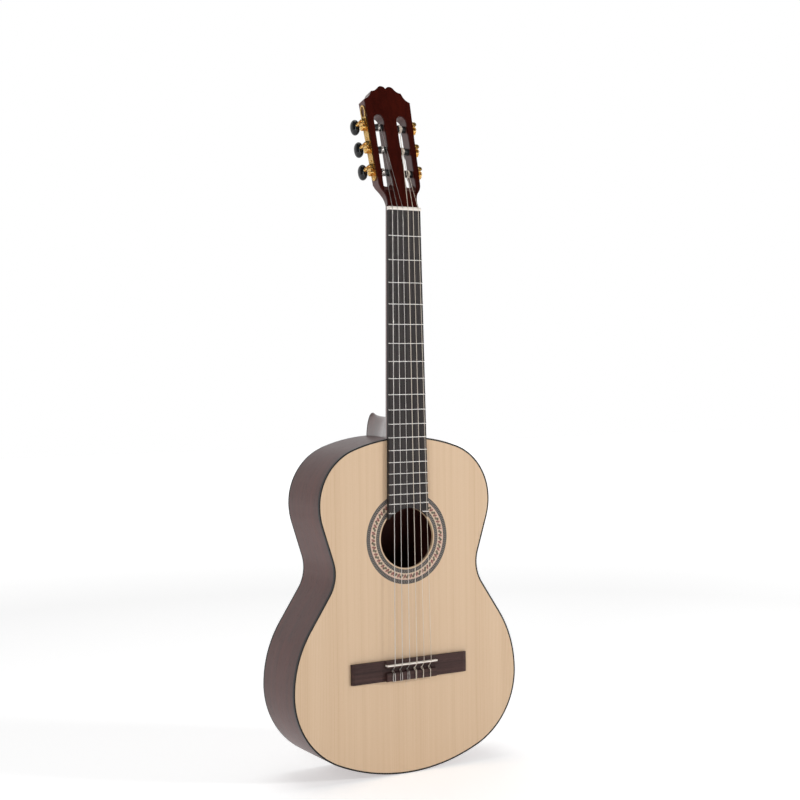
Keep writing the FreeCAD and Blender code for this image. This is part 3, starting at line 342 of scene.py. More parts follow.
class Nodes:
    """A node tree in the making."""

    def __init__(self, tree):
        self.tree = tree

    def node(self, kind, settings=(), inputs=(), output=0):
        """Adds a node: settings first, then values or links by position or by name."""
        made = self.tree.nodes.new(kind)
        for name, value in dict(settings).items():
            if name == "stops":
                self._set_stops(made.color_ramp, value)
            else:
                setattr(made, name, value)
        pairs = inputs.items() if isinstance(inputs, dict) else enumerate(inputs)
        for key, value in pairs:
            self.plug(made.inputs[key], value)
        return Value(self, made.outputs[output])

    def _set_stops(self, ramp, stops):
        while len(ramp.elements) < len(stops):
            ramp.elements.new(0.5)
        for element, (place, colour) in zip(ramp.elements, stops):
            element.position = place
            element.color = (*colour, 1.0)

    def plug(self, target, value):
        if isinstance(value, Value):
            self.tree.links.new(value.socket, target)
        elif np.ndim(value) and len(target.default_value) == 4:
            target.default_value = (*value, 1.0)
        else:
            target.default_value = value

    def place(self, centre=(0.0, 0.0, 0.0), turn=(0.0, 0.0, 0.0)):
        """Object coordinates from this centre, turned."""
        coordinates = self.node("ShaderNodeTexCoord", output="Object")
        moved = self.node("ShaderNodeVectorMath", {"operation": "SUBTRACT"}, (coordinates, centre))
        return self.node("ShaderNodeMapping", {}, {"Vector": moved, "Rotation": turn})

    def split(self, vector):
        return [self.node("ShaderNodeSeparateXYZ", {}, (vector,), axis) for axis in range(3)]

    def join(self, x, y, z):
        return self.node("ShaderNodeCombineXYZ", {}, (x, y, z))

    def noise(self, vector, scale, detail=3.0, roughness=0.55):
        return self.node("ShaderNodeTexNoise", {"noise_dimensions": "3D"},
                         {"Vector": vector, "Scale": scale, "Detail": detail, "Roughness": roughness})

    def cells(self, vector, scale):
        return self.node("ShaderNodeTexVoronoi", {"feature": "F1"}, {"Vector": vector, "Scale": scale})

    def ramp(self, value, stops):
        return self.node("ShaderNodeValToRGB", {"stops": stops}, (value,))

    def blend(self, factor, first, second):
        settings = {"data_type": "RGBA", "blend_type": "MIX", "clamp_factor": True}
        return self.node("ShaderNodeMix", settings, {0: factor, 6: first, 7: second}, 2)


class Shade(Nodes):
    """One material in the making: a Principled shader and the nodes that feed it."""

    def __init__(self, name, **constants):
        self.material = bpy.data.materials.new(name)
        self.material.use_nodes = True
        super().__init__(self.material.node_tree)
        self.principled = next(n for n in self.tree.nodes if n.type == "BSDF_PRINCIPLED")
        for socket, value in constants.items():
            self.plug(self.principled.inputs[socket.replace("_", " ")], value)

    def set(self, **links):
        for socket, value in links.items():
            self.plug(self.principled.inputs[socket.replace("_", " ")], value)
        return self

    def bump(self, height, strength, depth):
        bumped = self.node("ShaderNodeBump", {}, {"Strength": strength, "Distance": depth, "Height": height})
        return self.set(Normal=bumped)


# ---------------------------------------------------------------- finishes
def grain_lines(shade, across):
    """Growth rings: 0 in early wood, rising to 1 at each ring's late edge, each ring of its own strength."""
    ring = across / SPRUCE_RING
    strength = shade.node("ShaderNodeTexWhiteNoise", {"noise_dimensions": "1D"}, {"W": ring.floor()})
    late = ring.fraction()
    rise = late.rescaled(0.25, RING_TURN) ** 3.0
    return rise * (1.0 - late.rescaled(RING_TURN, 1.0)) * (strength * 0.75 + 0.25)


def spruce(name, light, dark, bookmatched=True):
    """Spruce under satin lacquer: fine rings, wider towards the edges, in broad soft bands."""
    shade = Shade(name, Roughness=0.42, Coat_Weight=0.25, Coat_Roughness=0.16, IOR=1.48)
    x, y, z = shade.split(shade.place())
    side = abs(x) if bookmatched else x
    wander = shade.noise(shade.join(side * 14.0, y * 14.0, z * 2.4), 1.0, 2.0)
    across = side - side * side * 1.15 + (wander - 0.5) * 0.0035
    lines = grain_lines(shade, across)
    bands = shade.noise(shade.join(across * 85.0, 0.0, z * 0.9), 1.0, 4.0, 0.62)
    silk = shade.noise(shade.join(x * 160.0, y * 160.0, z * 1500.0), 1.0, 2.0)
    broad = bands.rescaled(0.30, 0.74)
    colour = shade.ramp(broad * 0.40 + lines * 0.5 + 0.17,
                        [(0.0, light), (0.55, middle(light, dark, 0.4)), (1.0, dark)])
    colour = shade.blend(silk.rescaled(0.52, 0.75) * 0.10, colour, (0.86, 0.70, 0.52))
    rough = 0.36 + silk * 0.10 + lines * 0.06
    shade.set(Base_Color=colour, Roughness=rough)
    return shade.bump(lines * -1.0 + silk * 0.2, 0.16, 0.00012).material


def middle(first, second, share):
    """A colour this share of the way from the first to the second."""
    return tuple(a + (b - a) * share for a, b in zip(first, second))


def run_of_grain(shade, run):
    """Across, depth and along for wood whose grain runs up, sideways, up the head, or round the body."""
    x, y, z = shade.split(shade.place())
    if run == "round":
        bend = (z - RIB_CENTRE).angle_to(x) * RIB_CENTRE
        return y, (x * x + (z - RIB_CENTRE) * (z - RIB_CENTRE)).root() * 0.02, bend
    if run == "sideways":
        return z, y, x
    return x, y, z


def hardwood(name, light, dark, run="up", pore=0.5, stripe=0.5, rough=0.42, coat=0.1, coat_rough=0.2,
             scale=1.0, ior=1.45, dull_above=None):
    """Open-pored wood: ribbon stripes along the grain, short dark pores, and a satin finish.

    Above the height dull_above, if there is one, the coat fades to a satin.
    """
    shade = Shade(name, Roughness=rough, Coat_Weight=coat, Coat_Roughness=coat_rough, IOR=ior)
    across, deep, along_grain = run_of_grain(shade, run)
    flow = shade.noise(shade.join(across * 9.0, deep * 9.0, along_grain * 2.0), 1.0, 2.0)
    bent = across + (flow - 0.5) * 0.008
    ribbon = shade.noise(shade.join(bent * 190.0 * scale, deep * 190.0 * scale, along_grain * 3.2),
                         1.0, 4.0, 0.6)
    cloud = shade.noise(shade.join(bent * 22.0, deep * 22.0, along_grain * 5.0), 1.0, 3.0)
    pores = shade.noise(shade.join(bent * 2300.0, deep * 2300.0, along_grain * 95.0), 1.0, 1.0)
    pits = pores.rescaled(0.60, 0.70) * pore
    tone = ribbon.rescaled(0.3, 0.7) * stripe + cloud.rescaled(0.25, 0.75) * (1.0 - stripe)
    colour = shade.ramp(tone, [(0.0, dark), (0.5, middle(dark, light, 0.5)), (1.0, light)])
    colour = shade.blend(pits, colour, tuple(0.28 * c for c in dark))
    shade.set(Base_Color=colour, Roughness=rough + pits * 0.25 + (ribbon - 0.5) * 0.10)
    if dull_above:
        head = shade.split(shade.place())[2].rescaled(dull_above, dull_above + 0.02)
        shade.set(Coat_Weight=coat * (1.0 - 0.85 * head))
    return shade.bump(pits * -1.0 + ribbon * 0.15, 0.35, 0.00010).material


def moulded(name, colour, rough=0.12, speck=0.01, ior=1.45):
    """Polished plastic: almost even, with the faintest cloud in the gloss."""
    shade = Shade(name, IOR=ior)
    cloud = shade.noise(shade.place(), 420.0, 3.0)
    shade.set(Base_Color=shade.blend(cloud, colour, tuple(c + speck for c in colour)),
              Roughness=rough + cloud * 0.08)
    return shade.bump(cloud, 0.05, 0.00003).material


def ivory_bone(name, colour):
    """Bleached bone: pale, with faint streaks along the piece and a soft polish."""
    shade = Shade(name, Coat_Weight=0.3, Coat_Roughness=0.15, IOR=1.5)
    x, y, z = shade.split(shade.place())
    streak = shade.noise(shade.join(x * 90.0, y * 700.0, z * 700.0), 1.0, 3.0)
    shade.set(Base_Color=shade.blend(streak, colour, tuple(0.82 * c for c in colour)),
              Roughness=0.26 + streak * 0.16)
    return shade.bump(streak, 0.08, 0.00004).material


def bright_metal(name, colour, rough, wear=0.12):
    """Plain polished metal with fine scuffs."""
    shade = Shade(name, Metallic=1.0)
    scuff = shade.noise(shade.place(), 900.0, 4.0, 0.7)
    shade.set(Base_Color=shade.blend(scuff, tuple(0.82 * c for c in colour), colour),
              Roughness=rough + (scuff - 0.5) * wear)
    return shade.bump(scuff, 0.06, 0.00003).material


def engraved_gilt(name, colour, dark):
    """Gilt brass cut with a row of scrolls: in each square cell a spiral line, dark where it is cut deepest.

    The line runs where the distance from the cell's middle, in grooves, plus the angle in turns has a
    fraction near a half.
    """
    shade = Shade(name, Metallic=1.0)
    _, y, z = shade.split(shade.place(centre=HEAD_FOOT, turn=(HEAD_TILT, 0.0, 0.0)))
    scuff = shade.noise(shade.place(), 1100.0, 4.0, 0.7)
    step = z / SCROLL_PITCH
    level = (step.fraction() - 0.5) * SCROLL_PITCH
    deep = y - SCROLL_DEPTH
    radius = (level * level + deep * deep).root()
    turn = deep.angle_to(level) / (2 * math.pi)
    spiral = (radius / SCROLL_GROOVE + turn).fraction()
    line = 1.0 - (abs(spiral - 0.5) * 2.0).rescaled(0.25, 0.55)
    leaf = shade.cells(shade.join(0.0, y, z), 620.0).rescaled(0.30, 0.42)
    cut = line * 0.75 + (1.0 - leaf) * 0.25 * (radius > SCROLL_LEAVES)
    tone = shade.blend(cut * 0.72, colour, dark)
    tone = shade.blend(scuff.rescaled(0.5, 0.8) * 0.3, tone, tuple(0.8 * c for c in colour))
    shade.set(Base_Color=tone, Roughness=0.20 + cut * 0.22 + scuff * 0.10)
    return shade.bump(cut * -1.0, 0.9, 0.00018).material


def wound_silver(name, colour):
    """Silver-plated winding: close round ridges across the string, with painted shade darkening each winding
    from its crest into the groove between them, plus a little random tarnish.
    """
    shade = Shade(name, Metallic=1.0)
    run = shade.split(shade.node("ShaderNodeUVMap", {"uv_map": "run"}))[1]
    ridge = abs((run / WINDING_PITCH * math.pi).sine())
    tarnish = shade.noise(shade.place(), 130.0, 3.0)
    # painted shade: the colour darkens from each ridge's crest into the grooves; the tarnish noise adds
    # random tone
    shade.set(Base_Color=shade.blend(ridge * 0.7 + tarnish * 0.3, tuple(0.45 * c for c in colour), colour),
              Roughness=0.26 + tarnish * 0.14)
    return shade.bump(ridge, 0.5, 0.00005).material


def clear_nylon(name, colour):
    """Clear nylon: milky, a little light passes through, with a soft sheen."""
    shade = Shade(name, Transmission_Weight=0.1, IOR=1.45)
    cloud = shade.noise(shade.place(), 260.0, 2.0)
    shade.set(Base_Color=shade.blend(cloud, colour, tuple(0.9 * c for c in colour)),
              Roughness=0.38 + cloud * 0.1)
    return shade.material


def mosaic(name):
    """Rosette rings by distance from the hole's centre: two herringbone rings and a ring of leaves on cream.

    The herringbone is a chevron: the angle's phase is shifted by the distance from the ring's middle line.
    Each tile of the leaf ring holds slanted leaves, red and olive by turns, on pale wood: a leaf is where
    its share across plus the square of its share along stays under one.
    """
    shade = Shade(name, Coat_Weight=0.1, Coat_Roughness=0.15, IOR=1.4, Roughness=0.4)
    centre = hole_centre()
    x, _, z = shade.split(shade.place(centre=(centre[0], 0.0, centre[2])))
    cloud = shade.noise(shade.place(), 350.0, 2.0)
    uneven = shade.noise(shade.place(), 190.0, 1.0) - 0.5
    radius = (x * x + z * z).root()
    angle = z.angle_to(x) / (2 * math.pi)
    leaf_radius = radius + uneven * 0.0009
    leaf_angle = angle + (shade.noise(shade.place(centre=(0.3, 0.0, 0.0)), 170.0, 1.0) - 0.5) * 0.005

    def chevrons(low, high, count):
        ring = (radius - low) / (high - low)
        shift = abs(ring - 0.5) * 1.3
        return (angle * count + shift).fraction() > 0.5

    def leaf(place, middle_radius, tilt, half_width, half_height):
        level = (leaf_angle * MOSAIC_PAIRS + place).fraction() - 0.5
        high = (leaf_radius - middle_radius) / LEAF_HEIGHT
        slanted = (level + high * tilt) / half_width
        tall = high / half_height
        return (abs(slanted) + tall * tall) < 1.0

    cream = shade.blend(cloud, (0.70, 0.54, 0.40), (0.56, 0.42, 0.30))
    colour = cream
    for *shape, ink in LEAVES:
        colour = shade.blend(leaf(*shape) * 0.85, colour, ink)
    colour = shade.blend(radius.between(*RED_LINE), colour, (0.62, 0.33, 0.28))
    colour = shade.blend(radius.between(*PALE_LINE), colour, (0.66, 0.52, 0.40))
    for low, high, count in HERRINGBONES:
        woven = shade.blend(chevrons(low, high, count), (0.20, 0.17, 0.15), (0.018, 0.017, 0.016))
        colour = shade.blend(radius.between(low, high), colour, woven)
    for low, high in DARK_LINES:
        colour = shade.blend(radius.between(low, high), colour, (0.035, 0.03, 0.028))
    shade.set(Base_Color=colour, Roughness=0.34 + cloud * 0.1)
    return shade.material


# ---------------------------------------------------------------- what a user may change
class GuitarLooksSizes(bpy.types.PropertyGroup):
    """Sizes of the fine pieces and of the studio."""
    button_round: FloatProperty(
        name="Button roundness", description="Exponent of the button's oval; 2 is an ellipse",
        default=2.3, min=1.5, max=6.0)
    front_glow: FloatProperty(
        name="Front glow", description="Brightness of the room in front of the guitar",
        default=0.07, min=0.0, soft_max=1.0)
    back_glow: FloatProperty(
        name="Back glow", description="Brightness of the paper behind the guitar",
        default=0.95, min=0.0, soft_max=2.0)
    camera_lens: FloatProperty(
        name="Lens", description="Focal length of the camera",
        default=64.6, subtype="DISTANCE_CAMERA")
    camera_place: FloatVectorProperty(
        name="Camera place", description="Where the camera stands",
        default=(-1.0270, -1.7920, 0.5694), subtype="TRANSLATION", unit="LENGTH")
    camera_yaw: FloatProperty(
        name="Camera yaw", description="Turn of the camera to the right of straight on",
        default=math.radians(29.609), subtype="ANGLE", unit="ROTATION")
    camera_pitch: FloatProperty(
        name="Camera pitch", description="Tip of the camera above level",
        default=math.radians(-0.864), subtype="ANGLE", unit="ROTATION")
    camera_roll: FloatProperty(
        name="Camera roll", description="Roll of the camera about its own line of sight",
        default=math.radians(-0.798), subtype="ANGLE", unit="ROTATION")


class GuitarLooksColours(bpy.types.PropertyGroup):
    """Colours of the woods, metals and plastics."""
    spruce_light: FloatVectorProperty(
        name="Spruce light", description="Early wood of the soundboard",
        default=(0.72, 0.525, 0.350), subtype="COLOR", min=0.0, max=1.0)
    spruce_dark: FloatVectorProperty(
        name="Spruce dark", description="Late wood of the soundboard",
        default=(0.53, 0.335, 0.178), subtype="COLOR", min=0.0, max=1.0)
    body_light: FloatVectorProperty(
        name="Body light", description="Light ribbons of the ribs, back and neck",
        default=(0.120, 0.030, 0.022), subtype="COLOR", min=0.0, max=1.0)
    body_dark: FloatVectorProperty(
        name="Body dark", description="Dark ribbons of the ribs, back and neck",
        default=(0.046, 0.0115, 0.009), subtype="COLOR", min=0.0, max=1.0)
    gilt: FloatVectorProperty(
        name="Gilt", description="Gilt brass of the machines",
        default=(0.86, 0.56, 0.20), subtype="COLOR", min=0.0, max=1.0)


def sizes():
    return bpy.context.scene.guitar_looks_sizes


def colours():
    return bpy.context.scene.guitar_looks_colours


def dress(finish, *names):
    """Gives CAD nodes this finish."""
    for name in names:
        mesh = frame["nodes"][name].data
        mesh.materials.clear()
        mesh.materials.append(finish)


class GUITAR_OT_studio(bpy.types.Operator):
    """Pale floor, soft lights and the camera"""
    bl_idname = "guitar.studio"
    bl_label = "Studio"

    def execute(self, context):
        wanted = sizes()
        scene = context.scene
        scene.view_settings.view_transform = "Standard"
        lens = bpy.data.cameras.new("studio_camera")
        lens.lens = wanted.camera_lens
        lens.sensor_width = 36.0
        lens.clip_end = 60.0
        camera = bpy.data.objects.new("studio_camera", lens)
        yaw, pitch, roll = wanted.camera_yaw, wanted.camera_pitch, wanted.camera_roll
        ahead = Vector((math.sin(yaw) * math.cos(pitch), math.cos(yaw) * math.cos(pitch), math.sin(pitch)))
        right = Vector((math.cos(yaw), -math.sin(yaw), 0.0))
        above = right.cross(ahead)
        across = math.cos(roll) * right + math.sin(roll) * above
        upward = math.cos(roll) * above - math.sin(roll) * right
        turn = Matrix((across, upward, -ahead)).transposed().to_4x4()
        camera.matrix_world = Matrix.Translation(Vector(wanted.camera_place)) @ turn
        scene.collection.objects.link(camera)
        scene.camera = camera
        self.floor()
        self.lights(scene)
        return {"FINISHED"}

    def floor(self):
        """A wide flat sheet just under the tail, with a painted glow from its emission that grows brighter
        far from the guitar.
        """
        low = CAD_BOX[0][2]
        reach = np.linspace(-FLOOR_REACH, FLOOR_REACH, 3)
        x, y = np.meshgrid(reach, reach, indexing="ij")
        grid = np.stack([x, y, np.full_like(x, low - FLOOR_GAP)], -1)
        piece = grid_piece("studio_floor", grid, closed=False)
        if piece.data.polygons[0].normal.z < 0:
            piece.data.flip_normals()
        # painted glow: the floor emits light though it is no lamp, and grows brighter with distance from the
        # middle
        pale = Shade("studio_paper", Roughness=0.9, Base_Color=(0.90, 0.90, 0.90), Emission_Strength=1.0)
        x, y, _ = pale.split(pale.place())
        far = (x * x + y * y).root().rescaled(*FLOOR_GLOW_FADE)
        pale.set(Emission_Color=pale.blend(far, (0.48, 0.48, 0.48), (1.0, 1.0, 1.0)))
        piece.data.materials.append(pale.material)

    def lights(self, scene):
        """White paper behind and dark room in front, a key light at the right, a soft fill at the left."""
        world = bpy.data.worlds.new("studio_air")
        scene.world = world
        world.use_nodes = True
        air = Nodes(world.node_tree)
        background = next(n for n in world.node_tree.nodes if n.type == "BACKGROUND")
        facing = air.split(air.node("ShaderNodeTexCoord", output="Generated"))[1]
        glow = facing.rescaled(0.30, 0.80, sizes().front_glow, sizes().back_glow)
        seen = air.node("ShaderNodeLightPath", output="Is Camera Ray")
        air.plug(background.inputs["Color"], (1.0, 1.0, 1.0))
        air.plug(background.inputs["Strength"], glow + seen * (1.0 - glow))
        aim = Vector((0.0, 0.0, 0.5))
        for name, place, size, power in STUDIO_LIGHTS:
            lamp_data = bpy.data.lights.new(f"light_{name}", "AREA")
            lamp_data.shape = "RECTANGLE"
            lamp_data.size, lamp_data.size_y = size
            lamp_data.energy = power
            lamp = bpy.data.objects.new(f"light_{name}", lamp_data)
            lamp.location = place
            lamp.rotation_euler = (aim - Vector(place)).to_track_quat("-Z", "Y").to_euler()
            scene.collection.objects.link(lamp)


class GUITAR_OT_sound_box(bpy.types.Operator):
    """Finishes of the soundboard, ribs, back, bindings and the work inside"""
    bl_idname = "guitar.sound_box"
    bl_label = "Sound box"

    def execute(self, context):
        shade = colours()
        top = spruce("spruce_top_finish", tuple(shade.spruce_light), tuple(shade.spruce_dark))
        dress(top, "soundboard")
        raw = spruce("spruce_raw_finish", (0.58, 0.43, 0.28), (0.44, 0.29, 0.16), bookmatched=False)
        dress(raw, "harmonic_bars", "fan_braces", "soundhole_patch", "back_braces", "back_seam_strip")
        light, dark = tuple(shade.body_light), tuple(shade.body_dark)
        dress(hardwood("rib_finish", light, dark, run="round"), "rib_bass", "rib_treble")
        dress(hardwood("back_finish", light, dark), "back_bass_half", "back_treble_half")
        cedar = hardwood("lining_finish", (0.42, 0.25, 0.15), (0.28, 0.15, 0.09), run="round", pore=0.2,
                         coat=0.0, rough=0.7)
        dress(cedar, "top_linings", "back_linings", "tail_block", "heel_block")
        dress(moulded("binding_finish", (0.014, 0.012, 0.012), rough=0.30, speck=0.010, ior=1.30),
              "top_binding", "back_binding")
        dress(hardwood("dark_strip_finish", (0.035, 0.024, 0.022), (0.015, 0.010, 0.010)),
              "back_centre_strip", "tail_graft", "heel_cap")
        dress(mosaic("rosette_finish"), "rosette")
        return {"FINISHED"}


class GUITAR_OT_neck(bpy.types.Operator):
    """Finishes of the neck, head, fretboard, frets, nut, saddle and bridge"""
    bl_idname = "guitar.neck"
    bl_label = "Neck and bridge"

    def execute(self, context):
        shade = colours()
        light, dark = tuple(shade.body_light), tuple(shade.body_dark)
        dress(hardwood("neck_finish", light, dark, rough=0.30, coat=0.9, coat_rough=0.14, ior=1.5,
                       dull_above=HEAD_FOOT[2]), "neck")
        dress(hardwood("headplate_finish", (0.062, 0.0070, 0.0038), (0.016, 0.0025, 0.0018), stripe=0.3,
                       pore=0.25, rough=0.18, coat=0.06, coat_rough=0.05, ior=1.16), "headplate")
        dress(hardwood("fretboard_finish", (0.050, 0.041, 0.040), (0.012, 0.010, 0.010), stripe=0.8,
                       pore=0.7, rough=0.55, coat=0.0, scale=2.2, ior=1.33), "fretboard")
        dress(hardwood("bridge_finish", (0.075, 0.034, 0.029), (0.015, 0.0065, 0.006), run="sideways",
                       stripe=0.7, pore=0.6, rough=0.5, coat=0.0, scale=1.6, ior=1.33), "bridge")
        dress(bright_metal("fret_finish", (0.78, 0.76, 0.73), 0.22), "frets")
        dress(ivory_bone("nut_finish", (0.98, 0.90, 0.82)), "nut", "saddle")
        return {"FINISHED"}


class GUITAR_OT_strings(bpy.types.Operator):
    """Three nylon and three wound strings, from the knot on the tie block to the turns on the roller"""
    bl_idname = "guitar.strings"
    bl_label = "Strings"

    def execute(self, context):
        nylon = clear_nylon("nylon_finish", (0.78, 0.68, 0.57))
        wound = wound_silver("wound_finish", (0.80, 0.75, 0.71))
        for number, diameter in zip(STRINGS, STRING_DIAMETERS):
            path = np.concatenate([self.knot(number, diameter), self.length(number, diameter),
                                   self.turns(number, diameter)])
            bass = number > 3
            piece = tube(f"strung_{number}", path, diameter / 2)
            finish_piece(piece, GUITAR, wound if bass else nylon)
            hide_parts(f"string_{number}")
        self.loose_end(wound)
        return {"FINISHED"}

    def crossing(self, number, diameter, node, margin=0.0):
        """Centre of a string where it crosses the saddle or the nut, from the string's points near it."""
        spot = corners(f"string_{number}")
        low, high = span(node)
        near = spot[(spot[:, 2] > low[2] - margin) & (spot[:, 2] < high[2] + margin)]
        return np.array([near[:, 0].mean(), near[:, 1].min() + diameter / 2, (low[2] + high[2]) / 2])

    def at_saddle(self, number, diameter):
        return self.crossing(number, diameter, "saddle", SADDLE_MARGIN)

    def at_nut(self, number, diameter):
        return self.crossing(number, diameter, "nut")

    def knot(self, number, diameter):
        """Over the tie block, round the string in front, back over the block and down through its hole.

        A bass string's strands lie apart by an even gap plus a sine, like a drop. A treble's are a double
        helix: centre + swing (cos t, sin t) and centre - swing (cos t, sin t).
        """
        x = self.at_saddle(number, diameter)[0]
        _, top, foot = span("bridge")[0]
        r = diameter / 2
        over = top - r - KNOT_CLEAR
        if number > 3:
            share = np.linspace(0, 1, 7)
            spread = KNOT_SPREAD + KNOT_BELLY * np.sin(np.pi * (0.12 + 0.63 * (1 - share))) ** 0.8
            strand = np.stack([0 * share, over + 0 * share, foot + (0.4 + 11.0 * share) * MM], -1)
            there = strand + spread[:, None] * np.array([-1, 0, 0])
            back = (strand + spread[:, None] * np.array([1, 0, 0]))[::-1]
        else:
            share = np.linspace(0, 1, 40)
            phase = 2 * np.pi * TREBLE_TWISTS * share
            centre = np.stack([0 * share, over - r + 0 * share, foot + (0.6 + 10.9 * share) * MM], -1)
            swing = 1.05 * r * np.stack([np.cos(phase), np.sin(phase), 0 * phase], -1)
            there, back = centre + swing, (centre - swing)[::-1]
        front = foot + TIE_BLOCK
        loop = np.array((0.0, top, front)) + np.array(KNOT_LOOP) * MM
        tail = np.array((0.0, top, foot)) + np.array(KNOT_TAIL) * MM
        tail[:2, 2] -= r
        path = np.concatenate([there, loop, back, tail])
        path[:, 0] += x
        return smooth_path(path, 5)[:-1]

    def length(self, number, diameter):
        """Straight from the block's hole to the saddle, round its crown, and on to the nut.

        The crown at share s is the run's point at |s| times the reach, lifted by (1 - s^2).
        """
        saddle, nut = self.at_saddle(number, diameter), self.at_nut(number, diameter)
        _, top, foot = span("bridge")[0]
        hole = np.array([saddle[0], top + HOLE_DOWN, foot + TIE_BLOCK + 1.6 * MM])
        toward, away = unit(hole - saddle), unit(nut - saddle)
        share = np.linspace(-1, 1, 9)[:, None]
        crown = saddle + SADDLE_REACH * np.where(share < 0, -share * toward, share * away)
        crown += (1 - share ** 2) * SADDLE_LIFT * (toward + away)
        return np.concatenate([[hole, hole + 0.5 * (saddle - hole)], crown,
                               saddle + np.linspace(0.02, 1, 24)[:, None] * (nut - saddle)])

    def turns(self, number, diameter):
        """From the nut to the face side of the roller, then a helix of four turns towards the plate.

        A point of the helix is centre + reach (first way cos t + second way sin t) + axis pitch t / 2 pi.
        """
        centre, axis = joint(f"roller_turn_{number}")
        deep = joint(f"button_turn_{number}")[1]
        nut = self.at_nut(number, diameter)
        pitch = diameter + COIL_GAP
        spot = corners(f"string_{number}") - centre
        across = np.linalg.norm(spot - np.outer(spot @ axis, axis), axis=1)
        last = (spot[across < NEAR_ROLLER] @ axis).max() + centre @ axis
        first = last - COIL_TURNS * pitch - diameter / 2
        centre = centre + axis * (first - centre @ axis)
        barrel = along(f"string_roller_{number}", (deep,))
        reach = (barrel[1] - barrel[0])[0] / 2 + COIL_LIFT + diameter / 2
        offset = nut - centre
        offset = offset - axis * (offset @ axis)
        gap = np.linalg.norm(offset)
        toward = offset / gap
        aside = np.cross(axis, toward)
        swing = np.arccos(reach / gap)
        sides = [np.cos(swing) * toward + sign * np.sin(swing) * aside for sign in (1, -1)]
        first_way = min(sides, key=lambda way: way @ deep)
        landing = centre + reach * first_way
        second_way = np.cross(axis, first_way)
        if second_way @ (landing - nut) < 0:
            second_way = -second_way
        angle = np.linspace(0, 2 * np.pi * COIL_TURNS, 36 * COIL_TURNS)[:, None]
        helix = (centre + reach * (np.cos(angle) * first_way + np.sin(angle) * second_way)
                 + axis * pitch * angle / (2 * np.pi))
        tuck = helix[-1] + np.array([0.35, 0.8])[:, None] * (centre + axis * COIL_TURNS * pitch - helix[-1])
        over_nut = nut + np.linspace(0.02, 0.95, 6)[:, None] * (landing - nut)
        return np.concatenate([over_nut, helix, tuck])

    def loose_end(self, finish):
        """The cut end of the fourth string, curling from its knot down to the soundboard."""
        x = self.at_saddle(4, STRING_DIAMETERS[3])[0]
        _, top, foot = span("bridge")[0]
        path = smooth_path(np.array((x, top, foot)) + np.array(CURL) * MM, 8)
        piece = tube("string_4_end", path, CURL_RADIUS, sides=8)
        finish_piece(piece, GUITAR, finish)


class GUITAR_OT_machines(bpy.types.Operator):
    """Engraved plates, cogs, worms and rollers of the tuning machines"""
    bl_idname = "guitar.machines"
    bl_label = "Machines"

    def execute(self, context):
        gilt = tuple(colours().gilt)
        engraved = engraved_gilt("plate_finish", gilt, (0.16, 0.075, 0.02))
        dress(engraved, "tuner_plate_treble", "tuner_plate_bass")
        plain = bright_metal("gilt_finish", gilt, 0.2)
        dress(plain, "plate_screws")
        black = moulded("roller_finish", (0.016, 0.016, 0.017), rough=0.2)
        for number in STRINGS:
            dress(plain, f"worm_shaft_{number}", f"tuner_cog_{number}")
            dress(black, f"string_roller_{number}")
        return {"FINISHED"}


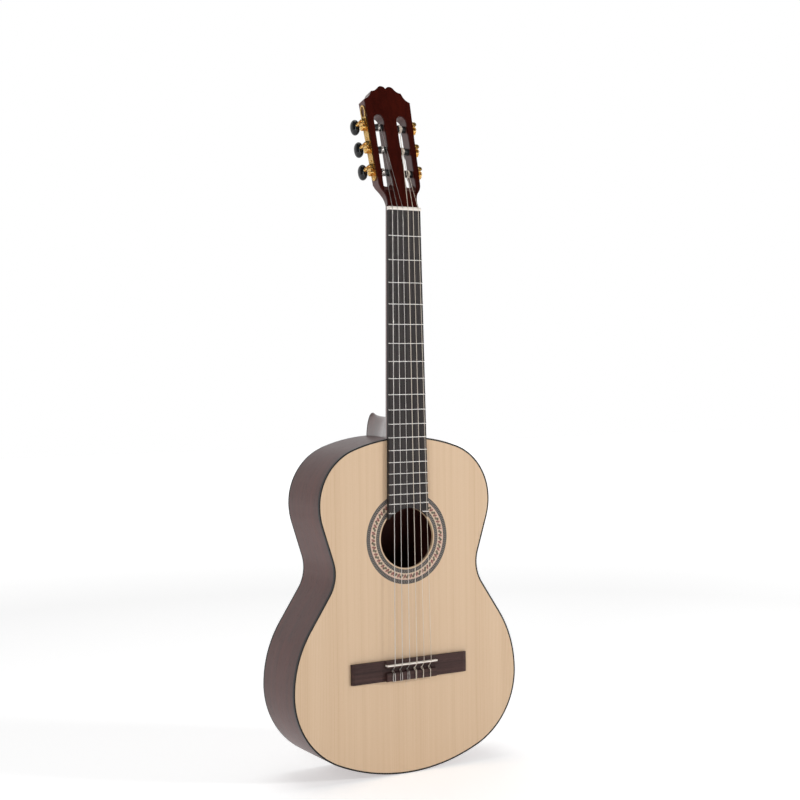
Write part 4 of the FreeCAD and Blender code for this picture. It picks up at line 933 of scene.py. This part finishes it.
class GUITAR_OT_buttons(bpy.types.Operator):
    """Six oval tuner buttons, each with a waisted collar where the stem goes in"""
    bl_idname = "guitar.buttons"
    bl_label = "Tuner buttons"

    def execute(self, context):
        finish = moulded("button_finish", (0.006, 0.006, 0.007), rough=0.05, speck=0.004, ior=1.42)
        for number in STRINGS:
            name = f"tuner_button_{number}"
            axes = machine_axes(number)
            low, high = along(name, axes)
            piece = self.button(f"oval_button_{number}", axes, low, high)
            finish_piece(piece, f"worm_{number}", finish)
            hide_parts(name)
        return {"FINISHED"}

    def button(self, name, axes, low, high):
        """Oval swept from the collar to the far end.

        At s, from -1 to 1 along the stem, the section's size is the larger of (1 - |s|^n)^(1/n) and a
        collar, a bell curve at the near end. Round it, a power of cos and sin squares it slightly.
        """
        centre, half = (low + high) / 2, (high - low) / 2
        roundness = sizes().button_round
        turn = np.linspace(0, math.pi, 44)
        share = -np.cos(turn)
        swell = (1 - np.abs(share) ** roundness).clip(0) ** (1 / roundness)
        collar = COLLAR_HEIGHT * np.exp(-((share + 1) / COLLAR_LENGTH) ** 2)
        across = np.maximum(swell, collar)
        across[-1] = 0.001
        angle = np.linspace(0, 2 * np.pi, 40, endpoint=False)
        squared = 2 / BUTTON_SQUARE
        side = np.sign(np.cos(angle)) * np.abs(np.cos(angle)) ** squared
        rise = np.sign(np.sin(angle)) * np.abs(np.sin(angle)) ** squared
        out = centre[0] + half[0] * across[:, None] * side
        up = centre[2] + half[2] * across[:, None] * rise
        deep = centre[1] + half[1] * share[:, None] + 0 * angle
        return grid_piece(name, np.stack([out, deep, up], -1) @ np.array(axes))


class GUITAR_PT_looks(bpy.types.Panel):
    """Lists the steps and what can be changed"""
    bl_idname = "GUITAR_PT_looks"
    bl_label = "Classical guitar"
    bl_space_type = "VIEW_3D"
    bl_region_type = "UI"
    bl_category = "Guitar"

    def draw(self, context):
        layout = self.layout
        for group in (context.scene.guitar_looks_sizes, context.scene.guitar_looks_colours):
            box = layout.box()
            for name in group.bl_rna.properties.keys():
                if name not in ("rna_type", "name"):
                    box.prop(group, name)
        for operator in OPERATORS:
            layout.operator(operator.bl_idname)


OPERATORS = (GUITAR_OT_studio, GUITAR_OT_sound_box, GUITAR_OT_neck, GUITAR_OT_strings, GUITAR_OT_machines,
             GUITAR_OT_buttons)
CLASSES = (GuitarLooksSizes, GuitarLooksColours, *OPERATORS, GUITAR_PT_looks)


def register():
    for kind in CLASSES:
        bpy.utils.register_class(kind)
    bpy.types.Scene.guitar_looks_sizes = PointerProperty(type=GuitarLooksSizes)
    bpy.types.Scene.guitar_looks_colours = PointerProperty(type=GuitarLooksColours)


def unregister():
    del bpy.types.Scene.guitar_looks_sizes
    del bpy.types.Scene.guitar_looks_colours
    for kind in reversed(CLASSES):
        bpy.utils.unregister_class(kind)


def main():
    register()
    bpy.ops.guitar.studio()
    bpy.ops.guitar.sound_box()
    bpy.ops.guitar.neck()
    bpy.ops.guitar.strings()
    bpy.ops.guitar.machines()
    bpy.ops.guitar.buttons()


if __name__ == "__main__":
    main()
